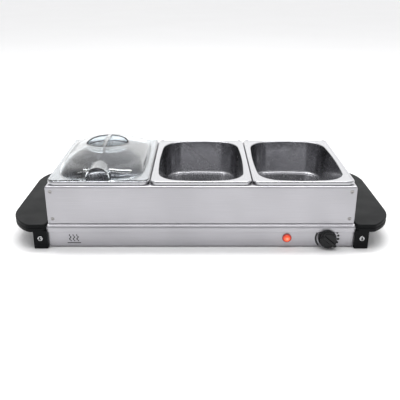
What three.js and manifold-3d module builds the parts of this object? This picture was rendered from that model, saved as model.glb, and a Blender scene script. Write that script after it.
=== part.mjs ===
// Electric buffet server: a heated base with two end handles, a pan frame, three pans and a domed lid.
// Millimetres, X to the right, Y to the back, Z up. The origin is on the floor under the middle of the base.
import * as THREE from 'three';
import { mergeVertices } from 'three/addons/utils/BufferGeometryUtils.js';
import Module from 'manifold-3d';

const wasm = await Module();
wasm.setup();

// ---------- Driving dimensions ----------
const CLEARANCE = 0.3; // between pieces that rest on, fit in or meet each other
const PAST = 1; // how far a cutting tool runs past the faces that it cuts
const CORNER_STEPS = 4; // facets in a rounded corner
const SHEET = 0.8; // stainless sheet of the warming plate and the pan frame
const TAU = 2 * Math.PI;

// Pans and their lid
const PAN_WIDTH = 164.2;
const PAN_DEPTH = 243.3;
const PAN_HEIGHT = 65.6;
const PAN_WALL = 0.7;
const PAN_LAND = 9.1; // flat rim between the bowl and the outer lip
const PAN_RIM_HEIGHT = 6.3;
const PAN_RIM_CORNER = 12;
const PAN_MOUTH_CORNER = 40;
const PAN_DRAFT = 2.7; // each wall leans in by this from mouth to floor
const PAN_FLOOR_FILLET = 5;
const PAN_BEAD = 1.4; // raised outer bead above the land
const PAN_SPACING = 1.4;
const LID_WALL = 1.8;
const LID_HEIGHT = 36;
const LID_INSET = 1; // lid flange inside the pan's outer lip
const LID_RIB = 3; // locating rib below the lid's flange
const GRIP_RADIUS = 36;
const GRIP_DEPTH = 14;
const GRIP_FIN = 8;
const NOTCH_RADIUS = 18.4;
const NOTCH_RISE = 0.5; // straight sides of the spoon arch above the flange
const NOTCH_SETBACK = 1.2; // flange's edge to the front of the spoon arch
const NOTCH_DEPTH = 34; // pan's mouth to where the spoon arch runs into the dome
const LID_RIB_STEP = 0.6; // rib inside the dome's foot
const DOME_GAP = 0.4; // dome's foot inside the pan's mouth
const DOME_OPENING = 5; // how fast the dome's corners open out into half circles
const DOME_FLAT = 2; // straight length left between those half circles
// Rows of the lid's dome, from the flange up: the share of the foot's size, and the share of the height.
const DOME_ROWS = [
  [1, 0],
  [0.98, 0.15],
  [0.95, 0.28],
  [0.9, 0.38],
  [0.8, 0.5],
  [0.7, 0.62],
  [0.56, 0.77],
  [0.4, 0.9],
  [0.12, 1],
];

// Pan frame
const FRAME_MARGIN_X = 2.3; // outer pan rim to the frame's end
const FRAME_MARGIN_Y = 4.35;
const FRAME_LIP = 9.5; // width of the folded top edge
const FRAME_HEM = 8; // width of the fold along the bottom
const FRAME_BEND = 3;
const PAN_FLOOR_GAP = 6; // air between a pan's floor and the warming plate
const DIVIDER_WIDTH = 12;
const DIVIDER_DROP = 10;
const WELD_TAB_WIDTH = 18;
const WELD_TAB_MARGIN = 5;

// Base
const LEG_LIFT = 0.8; // floor to the legs' plastic
const HOUSING_LIFT = 2;
const PANEL_HEIGHT = 25;
const SKIRT_HEIGHT = 12.7;
const SKIRT_STEP = 2; // the lower panel stands this far behind the skirt
const HOUSING_SHEET = 1;
const HOUSING_CORNER = 4;
const PLATE_LEDGE = 6; // plate beyond the frame at the front and back
const PLATE_TONGUE = 18; // plate beyond the frame at each end, under a handle
const PLATE_SHOULDER = 5;
const COVER_SHEET = 0.8;
const COVER_RISE = 2; // housing's lower edge to the bottom cover
const COVER_LEDGE = 12;
const COVER_SCREW_RADIUS = 1.5;
const VENT_LENGTH = 34;
const VENT_WIDTH = 4;
const VENT_PITCH = 12;

// Handles
const HANDLE_GAP = 1;
const HANDLE_REACH = 65.5;
const HANDLE_PROUD = 5; // handle beyond the plate's skirt at the front and back
const HANDLE_TOP = 3;
const HANDLE_RIM_HEIGHT = 13;
const HANDLE_RIM_WALL = 2.6;
const HANDLE_SWEEP = 67; // handle's front or rear face to the straight edge of its end
const HANDLE_SWEEP_RADIUS = 82;
const HANDLE_FRONT_ROUND = 12; // where the sweep meets the front or rear face
const HANDLE_INNER_CORNER = 8;
const HANDLE_RIB = 2;
const HANDLE_RIB_INSET = 61.65; // handle's front or rear face to the middle of a rib
const LEG_WIDTH = 22.5;
const LEG_RETURN = 34; // length of the leg's wall along the base's end
const FOOT_LENGTH = 16;
const FOOT_WIDTH = 3.6;
const FOOT_HEIGHT = 2.4;
const SCREW_RISE = 17;
const SCREW_INSET = 3.75; // housing's end to the screws' axis
const SCREW_RADIUS = 1.9;
const SCREW_HEAD_RADIUS = 4.3;
const SCREW_HEAD_HEIGHT = 2.4;

// Controls on the lower panel
const CONTROL_SHARE = 0.5405; // how far up from the bottom cover to the plate's skirt the spindle's axis is
const KNOB_FROM_END = 43; // frame's right end to the knob's axis
const KNOB_RADIUS = 15;
const KNOB_HEIGHT = 10.5;
const KNOB_CROWN = 2; // material over the spindle's end
const KNOB_GAP = 0.8; // knob in front of the plate's skirt
const KNOB_REST_ANGLE = -40; // degrees from +X towards +Z, seen from the front
const POINTER_PROUD = 3.5; // pointer beyond the knob's skirt
const SPINDLE_RADIUS = 3;
const SPINDLE_CLEARANCE = 0.25;
const SPINDLE_SOCKET = 4; // how far the spindle goes into the thermostat's block
const BUSH_RADIUS = 5;
const THERMOSTAT_SIZE = [30, 22, 18]; // X, Y, Z
const THERMOSTAT_SETBACK = 11; // panel to the thermostat's block
const THERMOSTAT_TERMINAL = 7; // spindle's axis to each terminal
const LAMP_FROM_END = 109; // frame's right end to the lamp's axis
const LAMP_RADIUS = 6.4;
const LAMP_FLANGE = 7.7;
const LAMP_DEPTH = 22; // panel to the back of the lamp's holder

// Heating parts
const HEATER_MARGIN_X = 12.1; // pan's rim to the edge of the heater under it
const HEATER_MARGIN_Y = 14.65;
const HEATER_SHEET = 1.6;
const TAB_WIDTH = 6;
const TAB_SHEET = 0.8;
const TAB_SPREAD = 24; // heater's middle to each of its tabs
const TAB_DROP = 9;
const TAB_INSET = 5;
const BLANKET_SHEET = 3;
const BLANKET_INSET = 12; // heaters' edge to the blanket's, at the front and rear
const CLAMP_SHEET = 1;
const STUD_RADIUS = 2;
const STUD_INSET = 15; // blanket's edge to the studs
const NUT_RADIUS = 4;
const NUT_HEIGHT = 3.2;

// Mains connection and wiring
const GLAND_NECK = 6.4;
const GLAND_BORE = 3.6;
const EARTH_FROM_END = 14; // frame's right end to the earth screw
const BLOCK_SIZE = [34, 16, 12]; // X, Y, Z
const BLOCK_SETBACK = 34; // rear wall to the terminal block's front
const FUSE_RADIUS = 2.4;
const FUSE_HALF = 7;
const LEAD_RADIUS = 1.1;
const LEAD_RISE = 7; // bottom cover to the leads that run along it

// ---------- Derived sizes ----------
const PAN_PITCH = PAN_WIDTH + PAN_SPACING;
const PAN_PLACES = { left: -PAN_PITCH, middle: 0, right: PAN_PITCH };
const FRAME_HALF_X = PAN_PITCH + PAN_WIDTH / 2 + FRAME_MARGIN_X;
const FRAME_HALF_Y = PAN_DEPTH / 2 + FRAME_MARGIN_Y;
const PLATE_HALF_X = FRAME_HALF_X + PLATE_TONGUE;
const PLATE_HALF_Y = FRAME_HALF_Y + PLATE_LEDGE;
const HOUSING_HALF_X = PLATE_HALF_X - SKIRT_STEP;
const HOUSING_HALF_Y = PLATE_HALF_Y - SKIRT_STEP;
const SKIRT_Z = HOUSING_LIFT + PANEL_HEIGHT;
const PLATE_Z = SKIRT_Z + SKIRT_HEIGHT;
const FRAME_Z = PLATE_Z + CLEARANCE;
const PAN_FLOOR_Z = FRAME_Z + PAN_FLOOR_GAP;
const PAN_TOP_Z = PAN_FLOOR_Z + PAN_HEIGHT;
const FRAME_TOP_Z = PAN_TOP_Z - PAN_RIM_HEIGHT - CLEARANCE;
const LID_Z = PAN_TOP_Z + CLEARANCE;
const COVER_Z = HOUSING_LIFT + COVER_RISE;
const COVER_TOP = COVER_Z + COVER_SHEET;
const LEDGE_Z = COVER_TOP + CLEARANCE;
const HANDLE_X = FRAME_HALF_X + HANDLE_GAP;
const HANDLE_END_X = HANDLE_X + HANDLE_REACH;
const HANDLE_HALF_Y = PLATE_HALF_Y + HANDLE_PROUD;
const HANDLE_Z = PLATE_Z + CLEARANCE + HANDLE_TOP;
const RIM_Z = HANDLE_Z - HANDLE_RIM_HEIGHT;
const POST_X = PLATE_HALF_X + CLEARANCE;
const SCREW_X = HOUSING_HALF_X - SCREW_INSET;
const SCREW_Z = HOUSING_LIFT + SCREW_RISE;
const CONTROL_Z = COVER_TOP + (SKIRT_Z - COVER_TOP) * CONTROL_SHARE;
const PANEL_Y = -HOUSING_HALF_Y;
const REAR_Y = HOUSING_HALF_Y;
const KNOB_X = FRAME_HALF_X - KNOB_FROM_END;
const KNOB_BACK = -PLATE_HALF_Y - KNOB_GAP;
const KNOB_FACE = KNOB_BACK - KNOB_HEIGHT;
const THERMOSTAT_FRONT = PANEL_Y + THERMOSTAT_SETBACK;
const THERMOSTAT_BACK = THERMOSTAT_FRONT + THERMOSTAT_SIZE[1];
const LAMP_X = FRAME_HALF_X - LAMP_FROM_END;
const LAMP_SEAT = PANEL_Y - CLEARANCE;
const LAMP_BACK = PANEL_Y + LAMP_DEPTH;
const EARTH_X = FRAME_HALF_X - EARTH_FROM_END;
const BLOCK_Y = REAR_Y - BLOCK_SETBACK;
const BLOCK_POLE = BLOCK_SIZE[0] / 3; // between the terminals of the block
const HEATER_WIDTH = PAN_WIDTH - 2 * HEATER_MARGIN_X;
const HEATER_DEPTH = PAN_DEPTH - 2 * HEATER_MARGIN_Y;
const BLANKET_DEPTH = HEATER_DEPTH - 2 * BLANKET_INSET;
const STUD_Y = BLANKET_DEPTH / 2 - STUD_INSET;
const HEATER_TOP = PLATE_Z - SHEET - CLEARANCE;
const BLANKET_TOP = HEATER_TOP - HEATER_SHEET - CLEARANCE;
const CLAMP_TOP = BLANKET_TOP - BLANKET_SHEET - CLEARANCE;
const NUT_TOP = CLAMP_TOP - CLAMP_SHEET - CLEARANCE;
const TAB_Y = HEATER_DEPTH / 2 - TAB_INSET;
const TAB_END_Z = HEATER_TOP - HEATER_SHEET - TAB_DROP;
const FUSE_Z = CLAMP_TOP - CLAMP_SHEET - CLEARANCE - FUSE_RADIUS;
const LEAD_Z = COVER_TOP + LEAD_RISE;

// ---------- Finishes ----------
const FINISHES = {
  brushedSteel: { color: 0xc4c6c8, roughness: 0.36, metalness: 0.95 },
  panSteel: { color: 0xcfd1d3, roughness: 0.24, metalness: 1 },
  zincSteel: { color: 0xa9acae, roughness: 0.48, metalness: 0.85 },
  blackPlastic: { color: 0x1d1d1f, roughness: 0.55, metalness: 0 },
  clearPlastic: { color: 0xe4e9ec, roughness: 0.08, metalness: 0 },
  redLens: { color: 0xe2471c, roughness: 0.2, metalness: 0 },
  chrome: { color: 0xe2e4e6, roughness: 0.12, metalness: 1 },
  rubber: { color: 0x2a2a2b, roughness: 0.9, metalness: 0 },
  mica: { color: 0x8f8672, roughness: 0.7, metalness: 0 },
  blanket: { color: 0xd9d6cc, roughness: 0.95, metalness: 0 },
  ceramic: { color: 0xe6e1d6, roughness: 0.5, metalness: 0 },
  brass: { color: 0xc9a65a, roughness: 0.35, metalness: 1 },
  leadSleeve: { color: 0xb9472f, roughness: 0.6, metalness: 0 },
};

const server = new THREE.Group();

function addPart(name, geometry, finish) {
  const mesh = new THREE.Mesh(geometry, new THREE.MeshStandardMaterial(FINISHES[finish]));
  mesh.name = name;
  server.add(mesh);
}

// ---------- Shape helpers ----------
function box([x0, x1], [y0, y1], [z0, z1]) {
  const geometry = new THREE.BoxGeometry(x1 - x0, y1 - y0, z1 - z0);
  return geometry.translate((x0 + x1) / 2, (y0 + y1) / 2, (z0 + z1) / 2);
}

// Cylinders from one end to the other, along each axis.
function rodY(radius, x, z, [y0, y1], sides = 12) {
  const geometry = new THREE.CylinderGeometry(radius, radius, y1 - y0, sides);
  return geometry.translate(x, (y0 + y1) / 2, z);
}

function rodZ(radius, x, y, [z0, z1], sides = 12) {
  const geometry = new THREE.CylinderGeometry(radius, radius, z1 - z0, sides).rotateX(Math.PI / 2);
  return geometry.translate(x, y, (z0 + z1) / 2);
}

function rodX(radius, y, z, [x0, x1], sides = 12) {
  const geometry = new THREE.CylinderGeometry(radius, radius, x1 - x0, sides).rotateZ(Math.PI / 2);
  return geometry.translate((x0 + x1) / 2, y, z);
}

// A turned piece about an axis along Y: points are [radius, y], from back to front or the reverse.
function turnedY(points, x, z, sides = 24) {
  const profile = points.map(([radius, y]) => new THREE.Vector2(radius, y));
  return new THREE.LatheGeometry(profile, sides).translate(x, 0, z);
}

function polygon(points) {
  return new THREE.Shape(points.map(([x, y]) => new THREE.Vector2(x, y)));
}

// A rounded rectangle between two corners, with one radius.
function roundedRectangle([x0, x1], [y0, y1], radius) {
  const shape = new THREE.Shape();
  shape.moveTo(x0 + radius, y0);
  shape.lineTo(x1 - radius, y0);
  shape.absarc(x1 - radius, y0 + radius, radius, -Math.PI / 2, 0);
  shape.lineTo(x1, y1 - radius);
  shape.absarc(x1 - radius, y1 - radius, radius, 0, Math.PI / 2);
  shape.lineTo(x0 + radius, y1);
  shape.absarc(x0 + radius, y1 - radius, radius, Math.PI / 2, Math.PI);
  shape.lineTo(x0, y0 + radius);
  shape.absarc(x0 + radius, y0 + radius, radius, Math.PI, 1.5 * Math.PI);
  return shape;
}

function extrudeZ(shape, [z0, z1]) {
  const settings = { depth: z1 - z0, bevelEnabled: false, curveSegments: CORNER_STEPS };
  return new THREE.ExtrudeGeometry(shape, settings).translate(0, 0, z0);
}

// A section drawn in (Y, Z), carried along X.
function extrudeX(shape, [x0, x1]) {
  const settings = { depth: x1 - x0, bevelEnabled: false, curveSegments: CORNER_STEPS };
  const turn = new THREE.Matrix4().makeBasis(
    new THREE.Vector3(0, 1, 0),
    new THREE.Vector3(0, 0, 1),
    new THREE.Vector3(1, 0, 0),
  );
  return new THREE.ExtrudeGeometry(shape, settings).applyMatrix4(turn).translate(x0, 0, 0);
}

// A section drawn in (X, Z), carried along Y.
function extrudeY(shape, [y0, y1]) {
  const settings = { depth: y1 - y0, bevelEnabled: false, curveSegments: 2 * CORNER_STEPS };
  return new THREE.ExtrudeGeometry(shape, settings).rotateX(Math.PI / 2).translate(0, y1, 0);
}

// A closed skin over rounded-rectangle rows [halfX, halfY, corner, z], closed over the first and last.
function skin(rows, centreX = 0) {
  const perRow = 4 * (CORNER_STEPS + 1);
  const positions = [];
  const index = [];
  for (const [halfX, halfY, corner, z] of rows) {
    for (let k = 0; k < perRow; k += 1) {
      const quadrant = Math.floor(k / (CORNER_STEPS + 1));
      const angle = ((quadrant + (k % (CORNER_STEPS + 1)) / CORNER_STEPS) * Math.PI) / 2;
      const signX = quadrant === 0 || quadrant === 3 ? 1 : -1;
      const signY = quadrant < 2 ? 1 : -1;
      const x = signX * (halfX - corner) + corner * Math.cos(angle);
      const y = signY * (halfY - corner) + corner * Math.sin(angle);
      positions.push(centreX + x, y, z);
    }
  }
  for (let row = 0; row < rows.length - 1; row += 1) {
    for (let k = 0; k < perRow; k += 1) {
      const a = row * perRow + k;
      const b = row * perRow + ((k + 1) % perRow);
      index.push(a, b, b + perRow, a, b + perRow, a + perRow);
    }
  }
  const firstMiddle = rows.length * perRow;
  const lastMiddle = firstMiddle + 1;
  const lastStart = firstMiddle - perRow;
  positions.push(centreX, 0, rows[0][3], centreX, 0, rows[rows.length - 1][3]);
  for (let k = 0; k < perRow; k += 1) {
    const next = (k + 1) % perRow;
    index.push(firstMiddle, next, k, lastMiddle, lastStart + k, lastStart + next);
  }
  const geometry = new THREE.BufferGeometry();
  geometry.setAttribute('position', new THREE.Float32BufferAttribute(positions, 3));
  geometry.setIndex(index);
  return geometry;
}

// ---------- Joins and cuts ----------
function toSolid(geometry) {
  const bare = geometry.clone();
  bare.deleteAttribute('normal');
  bare.deleteAttribute('uv');
  const merged = mergeVertices(bare, 1e-4);
  const vertProperties = new Float32Array(merged.attributes.position.array);
  const triVerts = new Uint32Array(merged.index.array);
  return new wasm.Manifold(new wasm.Mesh({ numProp: 3, vertProperties, triVerts }));
}

function toGeometry(solid) {
  const { vertProperties, triVerts } = solid.getMesh();
  const geometry = new THREE.BufferGeometry();
  geometry.setAttribute('position', new THREE.BufferAttribute(vertProperties, 3));
  geometry.setIndex(new THREE.BufferAttribute(triVerts, 1));
  return geometry;
}

function joined(...geometries) {
  const solids = geometries.map(toSolid);
  return toGeometry(solids.reduce((sum, next) => sum.add(next)));
}

function cut(geometry, ...tools) {
  const solids = tools.map(toSolid);
  return toGeometry(solids.reduce((rest, tool) => rest.subtract(tool), toSolid(geometry)));
}

// ---------- Base: plate, housing and cover ----------
function warmingPlate() {
  const plateCorner = HOUSING_CORNER + SKIRT_STEP;
  const shoulder = (inset, drop) => {
    const rows = [];
    for (let step = 0; step <= CORNER_STEPS; step += 1) {
      const angle = (step / CORNER_STEPS) * (Math.PI / 2);
      const inward = inset + (PLATE_SHOULDER - inset) * (1 - Math.cos(angle));
      const z = PLATE_Z - PLATE_SHOULDER + (PLATE_SHOULDER - drop) * Math.sin(angle);
      rows.push([PLATE_HALF_X - inward, PLATE_HALF_Y - inward, plateCorner - inward, z]);
    }
    return rows;
  };
  const outerRows = [[PLATE_HALF_X, PLATE_HALF_Y, plateCorner, SKIRT_Z], ...shoulder(0, 0)];
  const innerStart = [PLATE_HALF_X - SHEET, PLATE_HALF_Y - SHEET, plateCorner - SHEET, SKIRT_Z];
  const innerRows = [innerStart, ...shoulder(SHEET, SHEET)].reverse();
  const studs = [-1, 1].flatMap((sideX) =>
    [-STUD_Y, STUD_Y].map((y) =>
      rodZ(STUD_RADIUS, (sideX * PAN_PITCH) / 2, y, [NUT_TOP - NUT_HEIGHT - 2, PLATE_Z - SHEET / 2], 12),
    ),
  );
  return joined(skin([...innerRows, ...outerRows]), ...studs);
}

function housing() {
  const wallTop = PLATE_Z - SHEET - CLEARANCE - PLATE_SHOULDER;
  const outline = roundedRectangle(
    [-HOUSING_HALF_X, HOUSING_HALF_X],
    [-HOUSING_HALF_Y, HOUSING_HALF_Y],
    HOUSING_CORNER,
  );
  const inside = (inset) =>
    roundedRectangle(
      [-HOUSING_HALF_X + inset, HOUSING_HALF_X - inset],
      [-HOUSING_HALF_Y + inset, HOUSING_HALF_Y - inset],
      HOUSING_CORNER - HOUSING_SHEET,
    );
  const well = extrudeZ(inside(HOUSING_SHEET), [LEDGE_Z + HOUSING_SHEET, wallTop + PAST]);
  const mouth = extrudeZ(inside(COVER_LEDGE), [HOUSING_LIFT - PAST, wallTop + PAST]);
  const coverSeat = extrudeZ(inside(HOUSING_SHEET), [HOUSING_LIFT - PAST, LEDGE_Z]);
  const shell = cut(extrudeZ(outline, [HOUSING_LIFT, wallTop]), well, mouth, coverSeat);
  const collarDepth = 4;
  const collars = [];
  const holes = [];
  for (const sideX of [-1, 1]) {
    for (const sideY of [-1, 1]) {
      const span = [REAR_Y - HOUSING_SHEET - collarDepth, REAR_Y - HOUSING_SHEET / 2];
      const collarSpan = sideY > 0 ? span : [-span[1], -span[0]];
      const holeSpan = sideY > 0 ? [span[0] - PAST, REAR_Y + PAST] : [-REAR_Y - PAST, -span[0] + PAST];
      collars.push(rodY(SCREW_RADIUS + 1.5, sideX * SCREW_X, SCREW_Z, collarSpan));
      holes.push(rodY(SCREW_RADIUS + CLEARANCE, sideX * SCREW_X, SCREW_Z, holeSpan));
    }
  }
  const frontHole = [PANEL_Y - PAST, PANEL_Y + HOUSING_SHEET + PAST];
  const rearHole = [REAR_Y - HOUSING_SHEET - PAST, REAR_Y + PAST];
  holes.push(rodY(BUSH_RADIUS + CLEARANCE, KNOB_X, CONTROL_Z, frontHole, 16));
  holes.push(rodY(LAMP_RADIUS + CLEARANCE, LAMP_X, CONTROL_Z, frontHole, 16));
  holes.push(rodY(GLAND_NECK + CLEARANCE, KNOB_X, CONTROL_Z, rearHole, 16));
  holes.push(rodY(SCREW_RADIUS + CLEARANCE, EARTH_X, CONTROL_Z, rearHole));
  coverScrewPlaces().forEach(([x, y]) => {
    holes.push(rodZ(COVER_SCREW_RADIUS + CLEARANCE, x, y, [LEDGE_Z - PAST, LEDGE_Z + HOUSING_SHEET + PAST]));
  });
  return cut(joined(shell, ...collars), ...holes);
}

function coverScrewPlaces() {
  const x = HOUSING_HALF_X - HOUSING_SHEET - COVER_LEDGE / 2;
  const y = HOUSING_HALF_Y - HOUSING_SHEET - COVER_LEDGE / 2;
  return [[-x, -y], [x, -y], [-x, y], [x, y]];
}

function bottomCover() {
  const inset = HOUSING_SHEET + CLEARANCE;
  const outline = roundedRectangle(
    [-HOUSING_HALF_X + inset, HOUSING_HALF_X - inset],
    [-HOUSING_HALF_Y + inset, HOUSING_HALF_Y - inset],
    HOUSING_CORNER - HOUSING_SHEET,
  );
  const through = [COVER_Z - PAST, COVER_TOP + PAST];
  const vents = [-1, 1].flatMap((side) =>
    [-2, -1, 0, 1, 2].map((place) => {
      const middleX = (side * FRAME_HALF_X) / 2;
      const middleY = place * VENT_PITCH;
      const spanX = [middleX - VENT_LENGTH / 2, middleX + VENT_LENGTH / 2];
      return box(spanX, [middleY - VENT_WIDTH / 2, middleY + VENT_WIDTH / 2], through);
    }),
  );
  const screwHoles = coverScrewPlaces().map(([x, y]) =>
    rodZ(COVER_SCREW_RADIUS + CLEARANCE, x, y, through),
  );
  return cut(extrudeZ(outline, [COVER_Z, COVER_TOP]), ...vents, ...screwHoles);
}

function coverScrew(x, y) {
  const headTop = COVER_Z - CLEARANCE;
  const head = rodZ(2.8, x, y, [headTop - 1.2, headTop], 12);
  return joined(head, rodZ(COVER_SCREW_RADIUS, x, y, [headTop - 0.5, LEDGE_Z + HOUSING_SHEET + 4], 12));
}

// ---------- Handles ----------
// Plan of the right-hand handle: a straight inner edge with small corners, and an end whose straight middle
// sweeps round to a small round at the front and rear faces.
function handlePlan(inset, innerX, innerCorner) {
  const outerX = HANDLE_END_X - inset;
  const halfY = HANDLE_HALF_Y - inset;
  const sweepX = HANDLE_END_X - HANDLE_SWEEP_RADIUS;
  const sweepY = HANDLE_HALF_Y - HANDLE_SWEEP;
  const roundY = HANDLE_HALF_Y - HANDLE_FRONT_ROUND;
  const betweenCentres = HANDLE_SWEEP_RADIUS - HANDLE_FRONT_ROUND;
  const meeting = Math.asin((roundY - sweepY) / betweenCentres);
  const roundX = sweepX + betweenCentres * Math.cos(meeting);
  const sweep = HANDLE_SWEEP_RADIUS - inset;
  const round = HANDLE_FRONT_ROUND - inset;
  const shape = new THREE.Shape();
  shape.moveTo(innerX + innerCorner, -halfY);
  shape.lineTo(roundX, -halfY);
  shape.absarc(roundX, -roundY, round, -Math.PI / 2, -meeting);
  shape.absarc(sweepX, -sweepY, sweep, -meeting, 0);
  shape.lineTo(outerX, sweepY);
  shape.absarc(sweepX, sweepY, sweep, 0, meeting);
  shape.absarc(roundX, roundY, round, meeting, Math.PI / 2);
  shape.lineTo(innerX + innerCorner, halfY);
  shape.absarc(innerX + innerCorner, halfY - innerCorner, innerCorner, Math.PI / 2, Math.PI);
  shape.lineTo(innerX, -halfY + innerCorner);
  shape.absarc(innerX + innerCorner, -halfY + innerCorner, innerCorner, Math.PI, 1.5 * Math.PI);
  return shape;
}

function handle(side) {
  const underTop = HANDLE_Z - HANDLE_TOP;
  const postSide = HANDLE_X + LEG_WIDTH;
  const gripX = POST_X + HANDLE_RIB;
  const wing = extrudeZ(handlePlan(0, HANDLE_X, HANDLE_INNER_CORNER), [RIM_Z, HANDLE_Z]);
  const gripShape = handlePlan(HANDLE_RIM_WALL, gripX, HANDLE_RIB);
  const grip = extrudeZ(gripShape, [RIM_Z - PAST, underTop]);
  const skirtRoom = box(
    [HANDLE_X - PAST, POST_X],
    [-PLATE_HALF_Y - CLEARANCE, PLATE_HALF_Y + CLEARANCE],
    [RIM_Z - PAST, underTop],
  );
  const ribs = [-1, 1].map((sideY) => {
    const y = sideY * (HANDLE_HALF_Y - HANDLE_RIB_INSET);
    const spanY = [y - HANDLE_RIB / 2, y + HANDLE_RIB / 2];
    return box([gripX - PAST, HANDLE_END_X - HANDLE_RIM_WALL / 2], spanY, [RIM_Z + 2, underTop + PAST]);
  });
  const overlap = 2;
  const legs = [-1, 1].flatMap((sideY) => {
    const spanY = (near, far) => (sideY > 0 ? [near, far] : [-far, -near]);
    const frontInner = HOUSING_HALF_Y + CLEARANCE;
    const lowerZ = [LEG_LIFT, SKIRT_Z - CLEARANCE];
    const lower = box([HANDLE_X, postSide], spanY(frontInner, HANDLE_HALF_Y), lowerZ);
    const upper = box(
      [HANDLE_X, postSide],
      spanY(PLATE_HALF_Y + CLEARANCE, HANDLE_HALF_Y),
      [SKIRT_Z - overlap, RIM_Z + overlap],
    );
    const returnY = spanY(HANDLE_HALF_Y - LEG_RETURN, HANDLE_HALF_Y);
    const wall = box([POST_X, postSide], returnY, [LEG_LIFT, RIM_Z + overlap]);
    return [lower, upper, wall];
  });
  const screwHoles = [-1, 1].map((sideY) => {
    const reach = [HOUSING_HALF_Y - PAST, HANDLE_HALF_Y + PAST];
    const span = sideY > 0 ? reach : [-reach[1], -reach[0]];
    return rodY(SCREW_RADIUS + CLEARANCE, SCREW_X, SCREW_Z, span);
  });
  const footPockets = [-1, 1].map((sideY) => footBlock(sideY, CLEARANCE, LEG_LIFT - PAST));
  const shell = joined(cut(wing, grip, skirtRoom), ...ribs, ...legs);
  const right = cut(shell, ...screwHoles, ...footPockets);
  return side > 0 ? right : turned(right);
}

// Both handles are one moulding: the left one is the right one turned half round about Z.
function turned(geometry) {
  return geometry.clone().rotateZ(Math.PI);
}

function footBlock(sideY, margin, bottom) {
  const middleX = HANDLE_X + LEG_WIDTH / 2;
  const middleY = sideY * ((HOUSING_HALF_Y + CLEARANCE + HANDLE_HALF_Y) / 2);
  const spanX = [middleX - FOOT_LENGTH / 2 - margin, middleX + FOOT_LENGTH / 2 + margin];
  const spanY = [middleY - FOOT_WIDTH / 2 - margin, middleY + FOOT_WIDTH / 2 + margin];
  return box(spanX, spanY, [bottom, FOOT_HEIGHT + margin]);
}

// A cross-head screw through a leg, drawn for the right-hand front leg with its head towards -Y.
function handleScrew(sideX, sideY) {
  const seat = -HANDLE_HALF_Y - CLEARANCE;
  const crown = seat - SCREW_HEAD_HEIGHT;
  const slotReach = SCREW_HEAD_RADIUS - 1.9;
  const slotHalf = 0.45;
  const slotY = [crown - PAST, crown + 1.3];
  const profile = [
    [0, crown],
    [SCREW_HEAD_RADIUS * 0.55, crown + 0.25],
    [SCREW_HEAD_RADIUS * 0.88, crown + 0.95],
    [SCREW_HEAD_RADIUS, crown + 1.8],
    [SCREW_HEAD_RADIUS, seat],
    [0, seat],
  ];
  const head = turnedY(profile, SCREW_X, SCREW_Z, 12);
  const shank = rodY(SCREW_RADIUS, SCREW_X, SCREW_Z, [seat - 0.5, PANEL_Y + 9]);
  const slots = [
    box([SCREW_X - slotReach, SCREW_X + slotReach], slotY, [SCREW_Z - slotHalf, SCREW_Z + slotHalf]),
    box([SCREW_X - slotHalf, SCREW_X + slotHalf], slotY, [SCREW_Z - slotReach, SCREW_Z + slotReach]),
  ];
  const screw = cut(joined(head, shank), ...slots);
  const inPlace = sideX * sideY < 0 ? screw : screw.translate(-2 * SCREW_X, 0, 0);
  return sideY < 0 ? inPlace : turned(inPlace);
}

// ---------- Heating parts under the plate ----------
function micaHeater(middleX) {
  const spanX = [middleX - HEATER_WIDTH / 2, middleX + HEATER_WIDTH / 2];
  const board = box(spanX, [-HEATER_DEPTH / 2, HEATER_DEPTH / 2], [HEATER_TOP - HEATER_SHEET, HEATER_TOP]);
  const tabs = [-TAB_SPREAD, TAB_SPREAD].map((offset) => {
    const x = middleX + offset;
    const tabZ = [TAB_END_Z, HEATER_TOP - HEATER_SHEET / 2];
    return box([x - TAB_WIDTH / 2, x + TAB_WIDTH / 2], [TAB_Y - TAB_SHEET / 2, TAB_Y + TAB_SHEET / 2], tabZ);
  });
  return joined(board, ...tabs);
}

function studHoles(span) {
  return [-1, 1].flatMap((sideX) =>
    [-STUD_Y, STUD_Y].map((y) => rodZ(STUD_RADIUS + CLEARANCE, (sideX * PAN_PITCH) / 2, y, span)),
  );
}

function backingSheet(top, thickness) {
  const halfX = PAN_PITCH + HEATER_WIDTH / 2;
  const sheet = box([-halfX, halfX], [-BLANKET_DEPTH / 2, BLANKET_DEPTH / 2], [top - thickness, top]);
  return cut(sheet, ...studHoles([top - thickness - PAST, top + PAST]));
}

function clampNut(x, y) {
  const span = [NUT_TOP - NUT_HEIGHT, NUT_TOP];
  const hole = rodZ(STUD_RADIUS + CLEARANCE, x, y, [span[0] - PAST, span[1] + PAST]);
  return cut(rodZ(NUT_RADIUS, x, y, span, 6), hole);
}

// ---------- Controls and wiring ----------
function thermostatBody() {
  const [width, , height] = THERMOSTAT_SIZE;
  const block = box(
    [KNOB_X - width / 2, KNOB_X + width / 2],
    [THERMOSTAT_FRONT, THERMOSTAT_BACK],
    [CONTROL_Z - height / 2, CONTROL_Z + height / 2],
  );
  const bushFront = PANEL_Y - 3.6;
  const bush = rodY(BUSH_RADIUS, KNOB_X, CONTROL_Z, [bushFront, THERMOSTAT_FRONT + PAST], 24);
  const boreSpan = [bushFront - PAST, THERMOSTAT_FRONT + SPINDLE_SOCKET];
  const bore = rodY(SPINDLE_RADIUS + SPINDLE_CLEARANCE, KNOB_X, CONTROL_Z, boreSpan, 24);
  const waist = [THERMOSTAT_FRONT + 7, THERMOSTAT_FRONT + 9];
  const grooves = [-1, 1].map((side) => {
    const outer = KNOB_X + (side * width) / 2;
    const spanX = side > 0 ? [outer - 2, outer + 1] : [outer - 1, outer + 2];
    return box(spanX, waist, [CONTROL_Z - height, CONTROL_Z + height]);
  });
  return cut(joined(block, bush), bore, ...grooves);
}

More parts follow.
